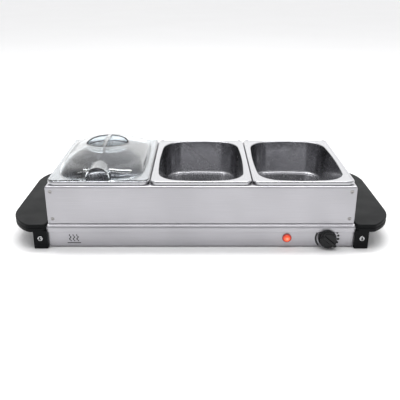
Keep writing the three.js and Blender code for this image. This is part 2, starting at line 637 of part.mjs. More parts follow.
function thermostatNut() {
  const span = [PANEL_Y - CLEARANCE - 2.4, PANEL_Y - CLEARANCE];
  const hole = rodY(BUSH_RADIUS + CLEARANCE, KNOB_X, CONTROL_Z, [span[0] - PAST, span[1] + PAST], 24);
  return cut(rodY(BUSH_RADIUS + 2.6, KNOB_X, CONTROL_Z, span, 6), hole);
}

function controlKnob() {
  const recess = BUSH_RADIUS + 4.2;
  const recessFloor = KNOB_BACK - 2;
  const boreFloor = KNOB_FACE + KNOB_CROWN;
  const profile = [
    [0, boreFloor],
    [SPINDLE_RADIUS + SPINDLE_CLEARANCE, boreFloor],
    [SPINDLE_RADIUS + SPINDLE_CLEARANCE, recessFloor],
    [recess, recessFloor],
    [recess, KNOB_BACK],
    [KNOB_RADIUS, KNOB_BACK],
    [KNOB_RADIUS, KNOB_BACK - 2.4],
    [KNOB_RADIUS - 1, KNOB_BACK - 3.4],
    [KNOB_RADIUS - 1.8, KNOB_FACE + 1.5],
    [KNOB_RADIUS - 3.3, KNOB_FACE],
    [0, KNOB_FACE],
  ].reverse();
  const body = turnedY(profile, 0, 0, 24);
  const reach = KNOB_RADIUS + POINTER_PROUD;
  const halfWidth = 2.6;
  const rib = polygon([
    [-KNOB_RADIUS + 4, -halfWidth],
    [reach - 3, -halfWidth],
    [reach, -0.6],
    [reach, 0.6],
    [reach - 3, halfWidth],
    [-KNOB_RADIUS + 4, halfWidth],
  ]);
  const pointer = extrudeY(rib, [KNOB_FACE - 2, KNOB_FACE + 7]);
  const room = rodY(SPINDLE_RADIUS + SPINDLE_CLEARANCE, 0, 0, [boreFloor, KNOB_BACK], 24);
  const knob = cut(joined(body, pointer), room);
  return knob.rotateY((-KNOB_REST_ANGLE * Math.PI) / 180).translate(KNOB_X, 0, CONTROL_Z);
}

function thermostatSpindle() {
  const span = [KNOB_FACE + KNOB_CROWN + CLEARANCE, THERMOSTAT_FRONT + SPINDLE_SOCKET - CLEARANCE];
  return rodY(SPINDLE_RADIUS, KNOB_X, CONTROL_Z, span, 24);
}

function indicatorLens() {
  const profile = [
    [0, LAMP_SEAT - 5.2],
    [2.6, LAMP_SEAT - 4.8],
    [4.7, LAMP_SEAT - 3.6],
    [5.9, LAMP_SEAT - 1.9],
    [LAMP_FLANGE - 0.5, LAMP_SEAT - 1.7],
    [LAMP_FLANGE, LAMP_SEAT - 1.2],
    [LAMP_FLANGE, LAMP_SEAT],
    [LAMP_RADIUS - 1, LAMP_SEAT],
    [LAMP_RADIUS - 1, PANEL_Y + 4],
    [0, PANEL_Y + 4],
  ];
  return turnedY(profile, LAMP_X, CONTROL_Z, 24);
}

function indicatorBody() {
  const innerRadius = LAMP_RADIUS - 1 + CLEARANCE;
  const cup = rodY(LAMP_RADIUS, LAMP_X, CONTROL_Z, [LAMP_SEAT + CLEARANCE, LAMP_BACK], 24);
  const well = rodY(innerRadius, LAMP_X, CONTROL_Z, [LAMP_SEAT - 1, LAMP_BACK - 2], 24);
  const pins = [-1, 1].map((side) => {
    const x = LAMP_X + side * 3;
    return box([x - 0.4, x + 0.4], [LAMP_BACK - 1, LAMP_BACK + 6], [CONTROL_Z - 1.6, CONTROL_Z + 1.6]);
  });
  return joined(cut(cup, well), ...pins);
}

function ringY(outerRadius, innerRadius, x, z, [y0, y1], sides) {
  return cut(rodY(outerRadius, x, z, [y0, y1], sides), rodY(innerRadius, x, z, [y0 - PAST, y1 + PAST], 24));
}

function cordGland() {
  const outerEnd = REAR_Y + 4;
  const innerEnd = REAR_Y - 8;
  const flange = GLAND_NECK + 2.8;
  const profile = [
    [GLAND_BORE, outerEnd],
    [GLAND_BORE, innerEnd],
    [GLAND_NECK, innerEnd],
    [GLAND_NECK, REAR_Y + CLEARANCE],
    [flange, REAR_Y + CLEARANCE],
    [flange, REAR_Y + 2.4],
    [GLAND_NECK + 0.6, outerEnd],
    [GLAND_BORE, outerEnd],
  ];
  return turnedY(profile, KNOB_X, CONTROL_Z, 24);
}

function terminalBlock() {
  const [width, depth, height] = BLOCK_SIZE;
  const floor = COVER_TOP + CLEARANCE;
  const top = floor + height;
  const body = box([KNOB_X - width / 2, KNOB_X + width / 2], [BLOCK_Y, BLOCK_Y + depth], [floor, top]);
  const slots = [-0.5, 0.5].map((place) => {
    const x = KNOB_X + place * BLOCK_POLE;
    return box([x - 0.8, x + 0.8], [BLOCK_Y - PAST, BLOCK_Y + depth + PAST], [top - 4, top + PAST]);
  });
  const wells = [-1, 0, 1].map((place) =>
    rodZ(2.4, KNOB_X + place * BLOCK_POLE, BLOCK_Y + depth / 2, [top - 3, top + PAST], 10),
  );
  return cut(body, ...slots, ...wells);
}

function earthScrew() {
  const seat = REAR_Y - HOUSING_SHEET - CLEARANCE;
  const head = rodY(2 * SCREW_RADIUS, EARTH_X, CONTROL_Z, [seat - SCREW_HEAD_HEIGHT, seat]);
  return joined(head, rodY(SCREW_RADIUS, EARTH_X, CONTROL_Z, [seat - PAST, REAR_Y + PAST]));
}

// A sleeved lead: a tube carried along a smooth curve through its points.
function lead(points) {
  const route = new THREE.CatmullRomCurve3(points.map(([x, y, z]) => new THREE.Vector3(x, y, z)));
  const section = new THREE.Shape().absarc(0, 0, LEAD_RADIUS, 0, TAU);
  const steps = 2 * (points.length - 1);
  const settings = { steps, extrudePath: route, bevelEnabled: false, curveSegments: 4 };
  return new THREE.ExtrudeGeometry(section, settings);
}

function addLeads() {
  const blockFace = BLOCK_Y - CLEARANCE;
  const thermostatFace = THERMOSTAT_BACK + CLEARANCE;
  const lowZ = LEAD_Z;
  const feedX = KNOB_X - THERMOSTAT_TERMINAL;
  const outX = KNOB_X + THERMOSTAT_TERMINAL;
  const supplyX = KNOB_X + BLOCK_POLE;
  const tabBelow = TAB_END_Z - CLEARANCE;
  const fuseEnd = FUSE_HALF + CLEARANCE;
  const tabX = (place, side) => PAN_PLACES[place] + side * TAB_SPREAD;
  addPart('lead_supply', lead([
    [feedX, thermostatFace, lowZ],
    [feedX, thermostatFace + 30, lowZ],
    [KNOB_X, 0, lowZ],
    [supplyX, blockFace - 30, lowZ],
    [supplyX, blockFace, lowZ],
  ]), 'leadSleeve');
  addPart('lead_switched', lead([
    [outX, thermostatFace, lowZ],
    [outX, thermostatFace + 20, lowZ],
    [outX - 6, thermostatFace + 40, lowZ + 6],
    [PAN_PITCH, -30, lowZ + 8],
    [PAN_PITCH / 2, -10, lowZ + 10],
    [fuseEnd + 20, 0, FUSE_Z - 1],
    [fuseEnd, 0, FUSE_Z],
  ]), 'leadSleeve');
  addPart('lead_fused', lead([
    [-fuseEnd, 0, FUSE_Z],
    [-fuseEnd - 20, 0, FUSE_Z - 1],
    [-PAN_PITCH / 2, 10, lowZ + 10],
    [tabX('left', -1) - 4, TAB_Y - 40, lowZ + 4],
    [tabX('left', -1), TAB_Y - 4, lowZ + 6],
    [tabX('left', -1), TAB_Y, tabBelow - 6],
    [tabX('left', -1), TAB_Y, tabBelow],
  ]), 'leadSleeve');
  const links = [['left', 'middle'], ['middle', 'right']];
  links.forEach(([from, to]) => {
    const start = tabX(from, 1);
    const end = tabX(to, -1);
    const sag = tabBelow - 12;
    addPart(`lead_link_${from}_${to}`, lead([
      [start, TAB_Y, tabBelow],
      [start, TAB_Y, tabBelow - 5],
      [start + 18, TAB_Y, sag],
      [end - 18, TAB_Y, sag],
      [end, TAB_Y, tabBelow - 5],
      [end, TAB_Y, tabBelow],
    ]), 'leadSleeve');
  });
  const returnX = tabX('right', 1);
  addPart('lead_return', lead([
    [returnX, TAB_Y, tabBelow],
    [returnX, TAB_Y, tabBelow - 6],
    [returnX, TAB_Y - 16, lowZ + 5],
    [returnX + 2, blockFace - 36, lowZ + 1],
    [(returnX + KNOB_X) / 2, blockFace - 46, lowZ],
    [KNOB_X - 2, blockFace - 36, lowZ],
    [KNOB_X, blockFace - 16, lowZ],
    [KNOB_X, blockFace, lowZ],
  ]), 'leadSleeve');
}

// ---------- Pan frame ----------
// Section of a folded side, with the outer face at depth 0: bottom fold, wall, bend and top lip.
function sideSection() {
  const bend = FRAME_BEND;
  const inner = FRAME_BEND - SHEET;
  const top = FRAME_TOP_Z;
  const shape = new THREE.Shape();
  shape.moveTo(FRAME_HEM, FRAME_Z);
  shape.lineTo(FRAME_HEM, FRAME_Z + SHEET);
  shape.lineTo(SHEET, FRAME_Z + SHEET);
  shape.lineTo(SHEET, top - bend);
  shape.absarc(bend, top - bend, inner, Math.PI, Math.PI / 2, true);
  shape.lineTo(FRAME_LIP, top - SHEET);
  shape.lineTo(FRAME_LIP, top);
  shape.lineTo(bend, top);
  shape.absarc(bend, top - bend, bend, Math.PI / 2, Math.PI, false);
  shape.lineTo(0, FRAME_Z);
  return shape;
}

// One side of the frame, drawn along X with its outer face at y = 0, and mitred at 45 degrees at both ends.
function mitredSide(halfLength) {
  const geometry = extrudeX(sideSection(), [-1, 1]);
  const position = geometry.attributes.position;
  for (let k = 0; k < position.count; k += 1) {
    const end = halfLength - CLEARANCE / 2 - position.getY(k);
    position.setX(k, Math.sign(position.getX(k)) * end);
  }
  return geometry;
}

function frontSide() {
  return mitredSide(FRAME_HALF_X).translate(0, -FRAME_HALF_Y, 0);
}

// An end, with two spot-weld tabs that lie behind the front and rear walls.
function endSide() {
  const side = mitredSide(FRAME_HALF_Y).translate(0, -FRAME_HALF_X, 0).rotateZ(Math.PI / 2);
  const tabs = [-1, 1].map((sideY) => {
    const near = FRAME_HALF_Y - SHEET - CLEARANCE;
    const spanY = sideY > 0 ? [near - SHEET, near] : [-near, -near + SHEET];
    const spanX = [FRAME_HALF_X - SHEET - WELD_TAB_WIDTH, FRAME_HALF_X - SHEET / 2];
    const spanZ = [FRAME_Z + SHEET + WELD_TAB_MARGIN, FRAME_TOP_Z - FRAME_BEND - WELD_TAB_MARGIN];
    return box(spanX, spanY, spanZ);
  });
  return joined(side, ...tabs);
}

function divider() {
  const half = DIVIDER_WIDTH / 2;
  const top = FRAME_TOP_Z - SHEET - CLEARANCE;
  const bottom = top - DIVIDER_DROP;
  const section = polygon([
    [-half, bottom],
    [-half + SHEET, bottom],
    [-half + SHEET, top - SHEET],
    [half - SHEET, top - SHEET],
    [half - SHEET, bottom],
    [half, bottom],
    [half, top],
    [-half, top],
  ]);
  const reach = FRAME_HALF_Y - FRAME_BEND - CLEARANCE;
  return extrudeY(section, [-reach, reach]);
}

// ---------- Pans and lid ----------
function pan(centreX) {
  const rimX = PAN_WIDTH / 2;
  const rimY = PAN_DEPTH / 2;
  const landZ = PAN_TOP_Z - PAN_BEAD;
  const lipZ = PAN_TOP_Z - PAN_RIM_HEIGHT;
  const row = (inset, corner, z) => [rimX - inset, rimY - inset, corner, z];
  const floorInset = PAN_LAND + PAN_DRAFT;
  const mouth = PAN_MOUTH_CORNER;
  const wall = PAN_WALL;
  const fillet = PAN_FLOOR_FILLET;
  const rim = PAN_RIM_CORNER;
  const outside = [
    row(floorInset + fillet - wall, mouth - PAN_DRAFT - fillet, PAN_FLOOR_Z),
    row(floorInset + 1.2 - wall, mouth - PAN_DRAFT, PAN_FLOOR_Z + 1.2),
    row(floorInset - wall, mouth - PAN_DRAFT + wall, PAN_FLOOR_Z + fillet),
    row(PAN_LAND - wall, mouth + wall, landZ - wall - 1.5),
    row(PAN_LAND - 1.5 - wall / 2, mouth + 1.5, landZ - wall),
    row(PAN_BEAD + 1.8, rim - 3, landZ - wall),
    row(PAN_BEAD + 0.8, rim - 2.2, PAN_TOP_Z - wall),
    row(wall, rim - wall, PAN_TOP_Z - 1.4),
    row(wall, rim - wall, lipZ),
  ];
  const inside = [
    row(0, rim, lipZ),
    row(0, rim, PAN_TOP_Z - 1.2),
    row(PAN_BEAD, rim - PAN_BEAD, PAN_TOP_Z),
    row(PAN_BEAD + 1.6, rim - 3, PAN_TOP_Z - 0.3),
    row(PAN_BEAD + 2.4, rim - 3.6, landZ),
    row(PAN_LAND - 1.5, mouth + 1.5, landZ),
    row(PAN_LAND, mouth, landZ - 1.5),
    row(floorInset, mouth - PAN_DRAFT, PAN_FLOOR_Z + fillet + wall),
    row(floorInset + 1.2, mouth - PAN_DRAFT - 1.2, PAN_FLOOR_Z + 1.2 + wall),
    row(floorInset + fillet, mouth - PAN_DRAFT - fillet, PAN_FLOOR_Z + wall),
  ];
  return skin([...outside, ...inside], centreX);
}

// One row of the lid's dome, shrunk inwards for the inner face. Its corners open out to half circles.
function domeRow([size, rise], shrink, base) {
  const footX = PAN_WIDTH / 2 - PAN_LAND - DOME_GAP;
  const footY = PAN_DEPTH / 2 - PAN_LAND - DOME_GAP;
  const opening = (footX - PAN_MOUTH_CORNER) * (1 - size) * DOME_OPENING;
  const corner = Math.min(PAN_MOUTH_CORNER + opening, footX * size - DOME_FLAT / 2);
  const height = LID_HEIGHT - LID_WALL;
  return [footX * size - shrink, footY * size - shrink, corner - shrink, base + height * rise];
}

function gripPocket(side, grow, bottom) {
  const radius = GRIP_RADIUS + grow;
  const fin = GRIP_FIN / 2 - grow;
  const shape = new THREE.Shape();
  const reach = Math.sqrt(radius * radius - fin * fin);
  const start = Math.atan2(-reach, fin);
  shape.moveTo(fin, -reach);
  shape.absarc(0, 0, radius, start, -start);
  shape.lineTo(fin, reach);
  const pocket = extrudeZ(shape, [bottom, LID_Z + LID_HEIGHT + PAST]);
  return side > 0 ? pocket : turned(pocket);
}

function archShape(radius, bottom, centreZ) {
  const shape = new THREE.Shape();
  shape.moveTo(-radius, bottom);
  shape.lineTo(radius, bottom);
  shape.lineTo(radius, centreZ);
  shape.absarc(0, centreZ, radius, 0, Math.PI);
  shape.lineTo(-radius, bottom);
  return shape;
}

function lidDome(centreX) {
  const flangeX = PAN_WIDTH / 2 - LID_INSET;
  const flangeY = PAN_DEPTH / 2 - LID_INSET;
  const flangeTop = LID_Z + LID_WALL;
  const flangeCorner = PAN_RIM_CORNER - LID_INSET;
  const peak = LID_Z + LID_HEIGHT;
  const outerDome = DOME_ROWS.map((row) => domeRow(row, 0, flangeTop));
  const innerDome = DOME_ROWS.map((row) => domeRow(row, LID_WALL, LID_Z));
  const ribOuter = domeRow([1, 0], LID_RIB_STEP, LID_Z);
  const shape = (row, z) => [row[0], row[1], row[2], z];
  const outerSolid = skin([
    shape(ribOuter, LID_Z - LID_RIB),
    shape(ribOuter, LID_Z),
    [flangeX, flangeY, flangeCorner, LID_Z],
    [flangeX, flangeY, flangeCorner, flangeTop - 0.4],
    [flangeX - 0.4, flangeY - 0.4, flangeCorner - 0.4, flangeTop],
    ...outerDome,
  ]);
  const innerSolid = skin([shape(innerDome[0], LID_Z - LID_RIB - PAST), ...innerDome]);
  const hoodZ = flangeTop + NOTCH_RISE;
  const hoodSpan = [-flangeY + NOTCH_SETBACK, -PAN_DEPTH / 2 + PAN_LAND + NOTCH_DEPTH];
  const notchSpan = [-flangeY - PAST, hoodSpan[1] + PAST];
  const hood = extrudeY(archShape(NOTCH_RADIUS + LID_WALL, LID_Z, hoodZ), hoodSpan);
  const notch = extrudeY(archShape(NOTCH_RADIUS, LID_Z - LID_RIB - PAST, hoodZ), notchSpan);
  const floor = peak - GRIP_DEPTH;
  const outerPockets = [-1, 1].map((side) => gripPocket(side, 0, floor));
  const innerPockets = [-1, 1].map((side) => gripPocket(side, LID_WALL, floor - LID_WALL));
  const hollow = cut(innerSolid, ...innerPockets);
  const dome = cut(joined(outerSolid, hood), ...outerPockets);
  return cut(dome, hollow, notch).translate(centreX, 0, 0);
}

// ---------- Assembly ----------
addPart('warming_plate', warmingPlate(), 'brushedSteel');
addPart('base_housing', housing(), 'brushedSteel');
addPart('bottom_cover', bottomCover(), 'zincSteel');
coverScrewPlaces().forEach(([x, y], number) => {
  addPart(`cover_screw_${number + 1}`, coverScrew(x, y), 'zincSteel');
});

const SIDES = { left: -1, right: 1 };
const FACES = { front: -1, rear: 1 };
Object.entries(SIDES).forEach(([sideName, sideX]) => {
  addPart(`handle_${sideName}`, handle(sideX), 'blackPlastic');
  Object.entries(FACES).forEach(([faceName, sideY]) => {
    addPart(`handle_screw_${faceName}_${sideName}`, handleScrew(sideX, sideY), 'chrome');
    const foot = footBlock(sideX * sideY, 0, 0);
    addPart(`rubber_foot_${faceName}_${sideName}`, sideX > 0 ? foot : turned(foot), 'rubber');
  });
});

Object.entries(PAN_PLACES).forEach(([place, x]) => {
  addPart(`mica_heater_${place}`, micaHeater(x), 'mica');
});
addPart('insulation_blanket', backingSheet(BLANKET_TOP, BLANKET_SHEET), 'blanket');
addPart('heater_clamp_plate', backingSheet(CLAMP_TOP, CLAMP_SHEET), 'zincSteel');
Object.entries(SIDES).forEach(([sideName, sideX]) => {
  Object.entries(FACES).forEach(([faceName, sideY]) => {
    const nut = clampNut((sideX * PAN_PITCH) / 2, sideY * STUD_Y);
    addPart(`clamp_nut_${faceName}_${sideName}`, nut, 'zincSteel');
  });
});

addPart('thermostat_body', thermostatBody(), 'ceramic');
addPart('thermostat_nut', thermostatNut(), 'brass');
addPart('thermostat_spindle', thermostatSpindle(), 'brass');
addPart('control_knob', controlKnob(), 'blackPlastic');
addPart('indicator_lens', indicatorLens(), 'redLens');
addPart('indicator_body', indicatorBody(), 'blackPlastic');
const clipSpan = [PANEL_Y + HOUSING_SHEET + CLEARANCE, PANEL_Y + HOUSING_SHEET + CLEARANCE + 1.5];
addPart('indicator_clip', ringY(9.5, LAMP_RADIUS + CLEARANCE, LAMP_X, CONTROL_Z, clipSpan, 24), 'zincSteel');
addPart('cord_gland', cordGland(), 'blackPlastic');
const glandNutSpan = [REAR_Y - HOUSING_SHEET - CLEARANCE - 3, REAR_Y - HOUSING_SHEET - CLEARANCE];
addPart('gland_nut', ringY(10, GLAND_NECK + CLEARANCE, KNOB_X, CONTROL_Z, glandNutSpan, 6), 'blackPlastic');
addPart('terminal_block', terminalBlock(), 'ceramic');
addPart('thermal_fuse', rodX(FUSE_RADIUS, 0, FUSE_Z, [-FUSE_HALF, FUSE_HALF], 12), 'brass');
addPart('earth_screw', earthScrew(), 'brass');
addLeads();

addPart('frame_front', frontSide(), 'brushedSteel');
addPart('frame_rear', turned(frontSide()), 'brushedSteel');
addPart('frame_end_right', endSide(), 'brushedSteel');
addPart('frame_end_left', turned(endSide()), 'brushedSteel');
Object.entries(SIDES).forEach(([sideName, sideX]) => {
  addPart(`divider_${sideName}`, divider().translate((sideX * PAN_PITCH) / 2, 0, 0), 'brushedSteel');
});

Object.entries(PAN_PLACES).forEach(([place, x]) => {
  addPart(`pan_${place}`, pan(x), 'panSteel');
});
addPart('lid_dome', lidDome(PAN_PLACES.left), 'clearPlastic');

export default server;
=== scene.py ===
"""Electric buffet server: the visible model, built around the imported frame.

Every piece is worked out from the frame's own boxes, in metres, +Z up. Each group of pieces has one
operator, and main() calls them in order.
"""

import math

import bmesh
import bpy
import numpy as np
from mathutils import Matrix, Vector


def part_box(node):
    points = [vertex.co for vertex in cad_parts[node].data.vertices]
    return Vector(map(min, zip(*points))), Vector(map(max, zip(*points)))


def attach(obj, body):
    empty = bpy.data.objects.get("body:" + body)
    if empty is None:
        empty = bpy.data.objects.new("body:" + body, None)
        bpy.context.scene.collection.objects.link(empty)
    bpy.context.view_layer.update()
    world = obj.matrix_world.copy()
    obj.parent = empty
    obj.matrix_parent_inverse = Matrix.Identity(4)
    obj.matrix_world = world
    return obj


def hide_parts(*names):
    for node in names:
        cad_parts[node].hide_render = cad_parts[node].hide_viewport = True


bl_info = {
    "name": "Electric Buffet Server",
    "version": (1, 0, 0),
    "blender": (4, 5, 0),
    "location": "View3D > Sidebar > Buffet Server",
    "description": "Builds a three-pan electric buffet server around its engineering frame",
    "category": "Add Mesh",
}

MM = 0.001
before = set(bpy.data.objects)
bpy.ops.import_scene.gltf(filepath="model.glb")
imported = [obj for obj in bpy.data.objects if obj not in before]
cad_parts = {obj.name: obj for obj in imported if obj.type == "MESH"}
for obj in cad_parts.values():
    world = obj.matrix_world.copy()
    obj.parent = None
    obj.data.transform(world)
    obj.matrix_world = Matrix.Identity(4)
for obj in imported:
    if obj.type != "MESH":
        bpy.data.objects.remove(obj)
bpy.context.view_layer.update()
SIDES = {"left": -1, "right": 1}
FACES = {"front": -1, "rear": 1}
PLACES = ("left", "middle", "right")


# ---------------------------------------------------------------- settings
class ServerSizes(bpy.types.PropertyGroup):
    """Sizes that a maker would change, in metres."""

    sheet: bpy.props.FloatProperty(
        name="Sheet", description="Stainless sheet thickness", default=0.8 * MM, unit="LENGTH"
    )
    shoulder: bpy.props.FloatProperty(
        name="Shoulder", description="Radius of the warming plate's edge", default=5 * MM, unit="LENGTH"
    )
    skirt: bpy.props.FloatProperty(
        name="Skirt", description="Height of the plate's folded edge", default=12.7 * MM, unit="LENGTH"
    )
    frame_bend: bpy.props.FloatProperty(
        name="Frame bend", description="Outer radius of the pan frame's folds", default=3 * MM, unit="LENGTH"
    )
    pan_land: bpy.props.FloatProperty(
        name="Pan land", description="Flat rim between bowl and lip", default=9.1 * MM, unit="LENGTH"
    )
    pan_wall: bpy.props.FloatProperty(
        name="Pan wall", description="Drawn wall thickness of a pan", default=0.7 * MM, unit="LENGTH"
    )
    pan_corner: bpy.props.FloatProperty(
        name="Pan corner", description="Corner radius of a pan's mouth", default=40 * MM, unit="LENGTH"
    )
    lid_wall: bpy.props.FloatProperty(
        name="Lid wall", description="Moulded wall thickness of the lid", default=1.8 * MM, unit="LENGTH"
    )
    handle_round: bpy.props.FloatProperty(
        name="Handle edge", description="Rounding of the handles' top edge", default=2 * MM, unit="LENGTH"
    )
    grain_width: bpy.props.FloatProperty(
        name="Grain width", description="Spacing of the brushed grain", default=0.5 * MM, unit="LENGTH"
    )
    grain_length: bpy.props.FloatProperty(
        name="Grain length", description="Length of one brushed scratch", default=60 * MM, unit="LENGTH"
    )


def colour_setting(name, description, value):
    """A colour property whose default is an sRGB hex value."""
    return bpy.props.FloatVectorProperty(
        name=name, description=description, default=linear(value), subtype="COLOR", size=4, min=0, max=1
    )


def linear(value):
    """An sRGB hex value as linear red, green, blue and alpha."""
    channels = np.array([int(value[k : k + 2], 16) for k in (1, 3, 5)]) / 255
    turned = np.where(channels <= 0.04045, channels / 12.92, ((channels + 0.055) / 1.055) ** 2.4)
    return (*turned.tolist(), 1.0)


class ServerColours(bpy.types.PropertyGroup):
    """Colours that a maker would change."""

    steel: colour_setting("Steel", "Brushed stainless steel", "#B8B7BB")
    pan_steel: colour_setting("Pan steel", "Drawn stainless steel", "#B2B2B5")
    plastic: colour_setting("Plastic", "Moulded black plastic", "#161718")
    lid: colour_setting("Lid", "Clear moulded plastic", "#EEF2F4")
    lamp: colour_setting("Lamp", "Pilot lamp lens", "#E8481E")


# ---------------------------------------------------------------- shape helpers
def span(*nodes):
    """Lowest and highest corner of one or more frame nodes, as arrays."""
    boxes = [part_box(node) for node in nodes]
    low = np.min([np.array(box[0]) for box in boxes], axis=0)
    high = np.max([np.array(box[1]) for box in boxes], axis=0)
    return low, high


def place_of(node):
    """The middle of a frame node."""
    low, high = span(node)
    return (low + high) / 2


def arc(centre, radius, start, end, steps=6):
    """Points of a circular arc in a plane, between two angles in degrees."""
    angle = np.radians(np.linspace(start, end, steps + 1))
    return np.stack([centre[0] + radius * np.cos(angle), centre[1] + radius * np.sin(angle)], -1)


def smooth(value):
    """The smooth step 3t^2 - 2t^3 of a value held between 0 and 1."""
    t = np.clip(value, 0, 1)
    return t * t * (3 - 2 * t)


def rounded_rings(rows, steps=12, side_steps=1):
    """Rounded rectangles on a grid: each row is (half x, half y, corner, z, bow).

    A corner is a quarter circle, and a side is a straight line plus bow times 1 - t^2, t from -1 to 1.
    """
    rows = np.array([tuple(row) + (0,) * (5 - len(row)) for row in rows], float)
    half = rows[:, :2]
    corner, height, bow = rows[:, 2], rows[:, 3], rows[:, 4]
    turn = np.linspace(0, math.pi / 2, steps + 1)
    t = np.linspace(-1, 1, side_steps + 1)[1:-1]
    pieces = []
    for quadrant in range(4):
        angle = turn + quadrant * math.pi / 2
        sign = np.array([1 if quadrant in (0, 3) else -1, 1 if quadrant < 2 else -1])
        middle = (half - corner[:, None]) * sign
        ring = middle[:, None, :] + corner[:, None, None] * np.stack([np.cos(angle), np.sin(angle)], -1)
        pieces.append(ring)
        if len(t):
            next_sign = np.array([1 if quadrant in (2, 3) else -1, 1 if quadrant in (0, 3) else -1])
            next_middle = (half - corner[:, None]) * next_sign
            end_angle = angle[-1]
            normal = np.array([math.cos(end_angle), math.sin(end_angle)])
            start = ring[:, -1, :]
            finish = next_middle + corner[:, None] * normal
            along = (t + 1) / 2
            side = start[:, None, :] * (1 - along)[:, None] + finish[:, None, :] * along[:, None]
            side += (bow[:, None] * (1 - t * t))[:, :, None] * normal
            pieces.append(side)
    flat = np.concatenate(pieces, 1)
    return np.concatenate([flat, np.broadcast_to(height[:, None, None], (*flat.shape[:2], 1))], -1)


def grid_faces(rows, columns, closed=True):
    """Quads of a grid of points, row by row, closed round each row if asked."""
    last = columns if closed else columns - 1
    start = np.arange(rows - 1)[:, None] * columns
    here = start + np.arange(last)
    beside = start + (np.arange(last) + 1) % columns
    return np.stack([here, beside, beside + columns, here + columns], -1).reshape(-1, 4).tolist()


def closed_skin(points):
    """Faces of a tube of rings, capped by its first and last ring."""
    rows, columns = points.shape[:2]
    faces = grid_faces(rows, columns)
    faces.append(list(range(columns))[::-1])
    faces.append([(rows - 1) * columns + k for k in range(columns)])
    return points.reshape(-1, 3), faces


def together(*parts):
    """Several (points, faces) as one."""
    points, faces, count = [], [], 0
    for some, its_faces in parts:
        points.append(some)
        faces += [[index + count for index in face] for face in its_faces]
        count += len(some)
    return np.concatenate(points), faces


def turned(profile, x, z, steps=48, direction="y"):
    """A profile of (radius, place) turned about an axis along Y or Z through (x, z) or (x, y)."""
    profile = np.array(profile, float)
    angle = np.linspace(0, 2 * math.pi, steps, endpoint=False)
    across = profile[:, :1] * np.cos(angle)
    upward = profile[:, :1] * np.sin(angle)
    place = np.broadcast_to(profile[:, 1:], across.shape)
    order = [across + x, place, upward + z] if direction == "y" else [across + x, upward + z, place]
    return closed_skin(np.stack(order, -1))


def block(low, high, corner=0.0, steps=4):
    """A box with its four upright edges rounded, from one corner to the other."""
    low, high = np.array(low, float), np.array(high, float)
    middle, half = (low + high) / 2, (high - low) / 2
    corner = max(corner, 1e-6)
    rows = [(half[0], half[1], corner, low[2]), (half[0], half[1], corner, high[2])]
    points = rounded_rings(rows, steps)
    points[..., 0] += middle[0]
    points[..., 1] += middle[1]
    return closed_skin(points)


def new_object(name, shape, merge=True):
    """A mesh object from (points, faces), its doubles merged and its faces turned outwards."""
    points, faces = shape
    mesh = bpy.data.meshes.new(name)
    mesh.from_pydata(np.asarray(points).tolist(), [], faces)
    if merge:
        tidy_mesh(mesh)
    made = bpy.data.objects.new(name, mesh)
    bpy.context.scene.collection.objects.link(made)
    return made


def tidy_mesh(mesh, distance=1e-7):
    """Merges doubles, drops faces without area and turns the faces outwards."""
    work = bmesh.new()
    work.from_mesh(mesh)
    bmesh.ops.remove_doubles(work, verts=work.verts, dist=distance)
    bmesh.ops.dissolve_degenerate(work, edges=work.edges, dist=distance)
    bmesh.ops.recalc_face_normals(work, faces=work.faces)
    work.to_mesh(mesh)
    work.free()


def shade(made, angle=32):
    """Smooth shading, broken at edges sharper than the angle, weighted by face area."""
    made.data.shade_smooth()
    made.data.set_sharp_from_angle(angle=math.radians(angle))
    weighted = made.modifiers.new("weighted_normals", "WEIGHTED_NORMAL")
    weighted.keep_sharp = True


def settle(made):
    """Applies an object's modifiers, so that its own mesh is the finished one."""
    graph = bpy.context.evaluated_depsgraph_get()
    mesh = bpy.data.meshes.new_from_object(made.evaluated_get(graph), depsgraph=graph)
    made.modifiers.clear()
    made.data = mesh
    return made


def combine(made, tools, operation):
    """Joins tools to an object, or cuts them from it, and removes them."""
    for tool in tools:
        step = made.modifiers.new(operation.lower(), "BOOLEAN")
        step.operation = operation
        step.solver = "EXACT"
        step.object = tool
    settle(made)
    for tool in tools:
        bpy.data.objects.remove(tool)
    return made


def ease_edges(made, width, segments=2, angle=35):
    """Rounds an object's edges that are sharper than the angle."""
    bevel = made.modifiers.new("eased_edges", "BEVEL")
    bevel.width = width
    bevel.segments = segments
    bevel.limit_method = "ANGLE"
    bevel.angle_limit = math.radians(angle)
    bevel.harden_normals = False
    return made


def finish_piece(made, material, body, nodes=(), angle=32):
    """Gives a piece its material, shading and body, and hides the frame nodes that it stands for."""
    made.data.materials.clear()
    made.data.materials.append(material)
    if angle:
        shade(made, angle)
    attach(made, body)
    if nodes:
        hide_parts(*nodes)
    return made


def refined(node, material, body, width=0.0, angle=32, flat_angle=1.0):
    """A frame node's own shape with merged facets, eased edges and smooth shading."""
    made = bpy.data.objects.new(f"{node}_finished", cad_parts[node].data.copy())
    bpy.context.scene.collection.objects.link(made)
    work = bmesh.new()
    work.from_mesh(made.data)
    bmesh.ops.remove_doubles(work, verts=work.verts, dist=2e-6)
    flat = math.radians(flat_angle)
    bmesh.ops.dissolve_limit(work, angle_limit=flat, verts=work.verts, edges=work.edges)
    work.to_mesh(made.data)
    work.free()
    if width:
        ease_edges(made, width)
    return finish_piece(made, material, body, (node,), angle)


# ---------------------------------------------------------------- materials
def add(tree, kind, inputs=None, **settings):
    """Adds one node. inputs maps a socket's name or number to a value or to another node's output."""
    node = tree.nodes.new(kind)
    for key, value in settings.items():
        setattr(node, key, value)
    for key, value in (inputs or {}).items():
        if isinstance(value, bpy.types.NodeSocket):
            tree.links.new(value, node.inputs[key])
        else:
            node.inputs[key].default_value = value
    return node


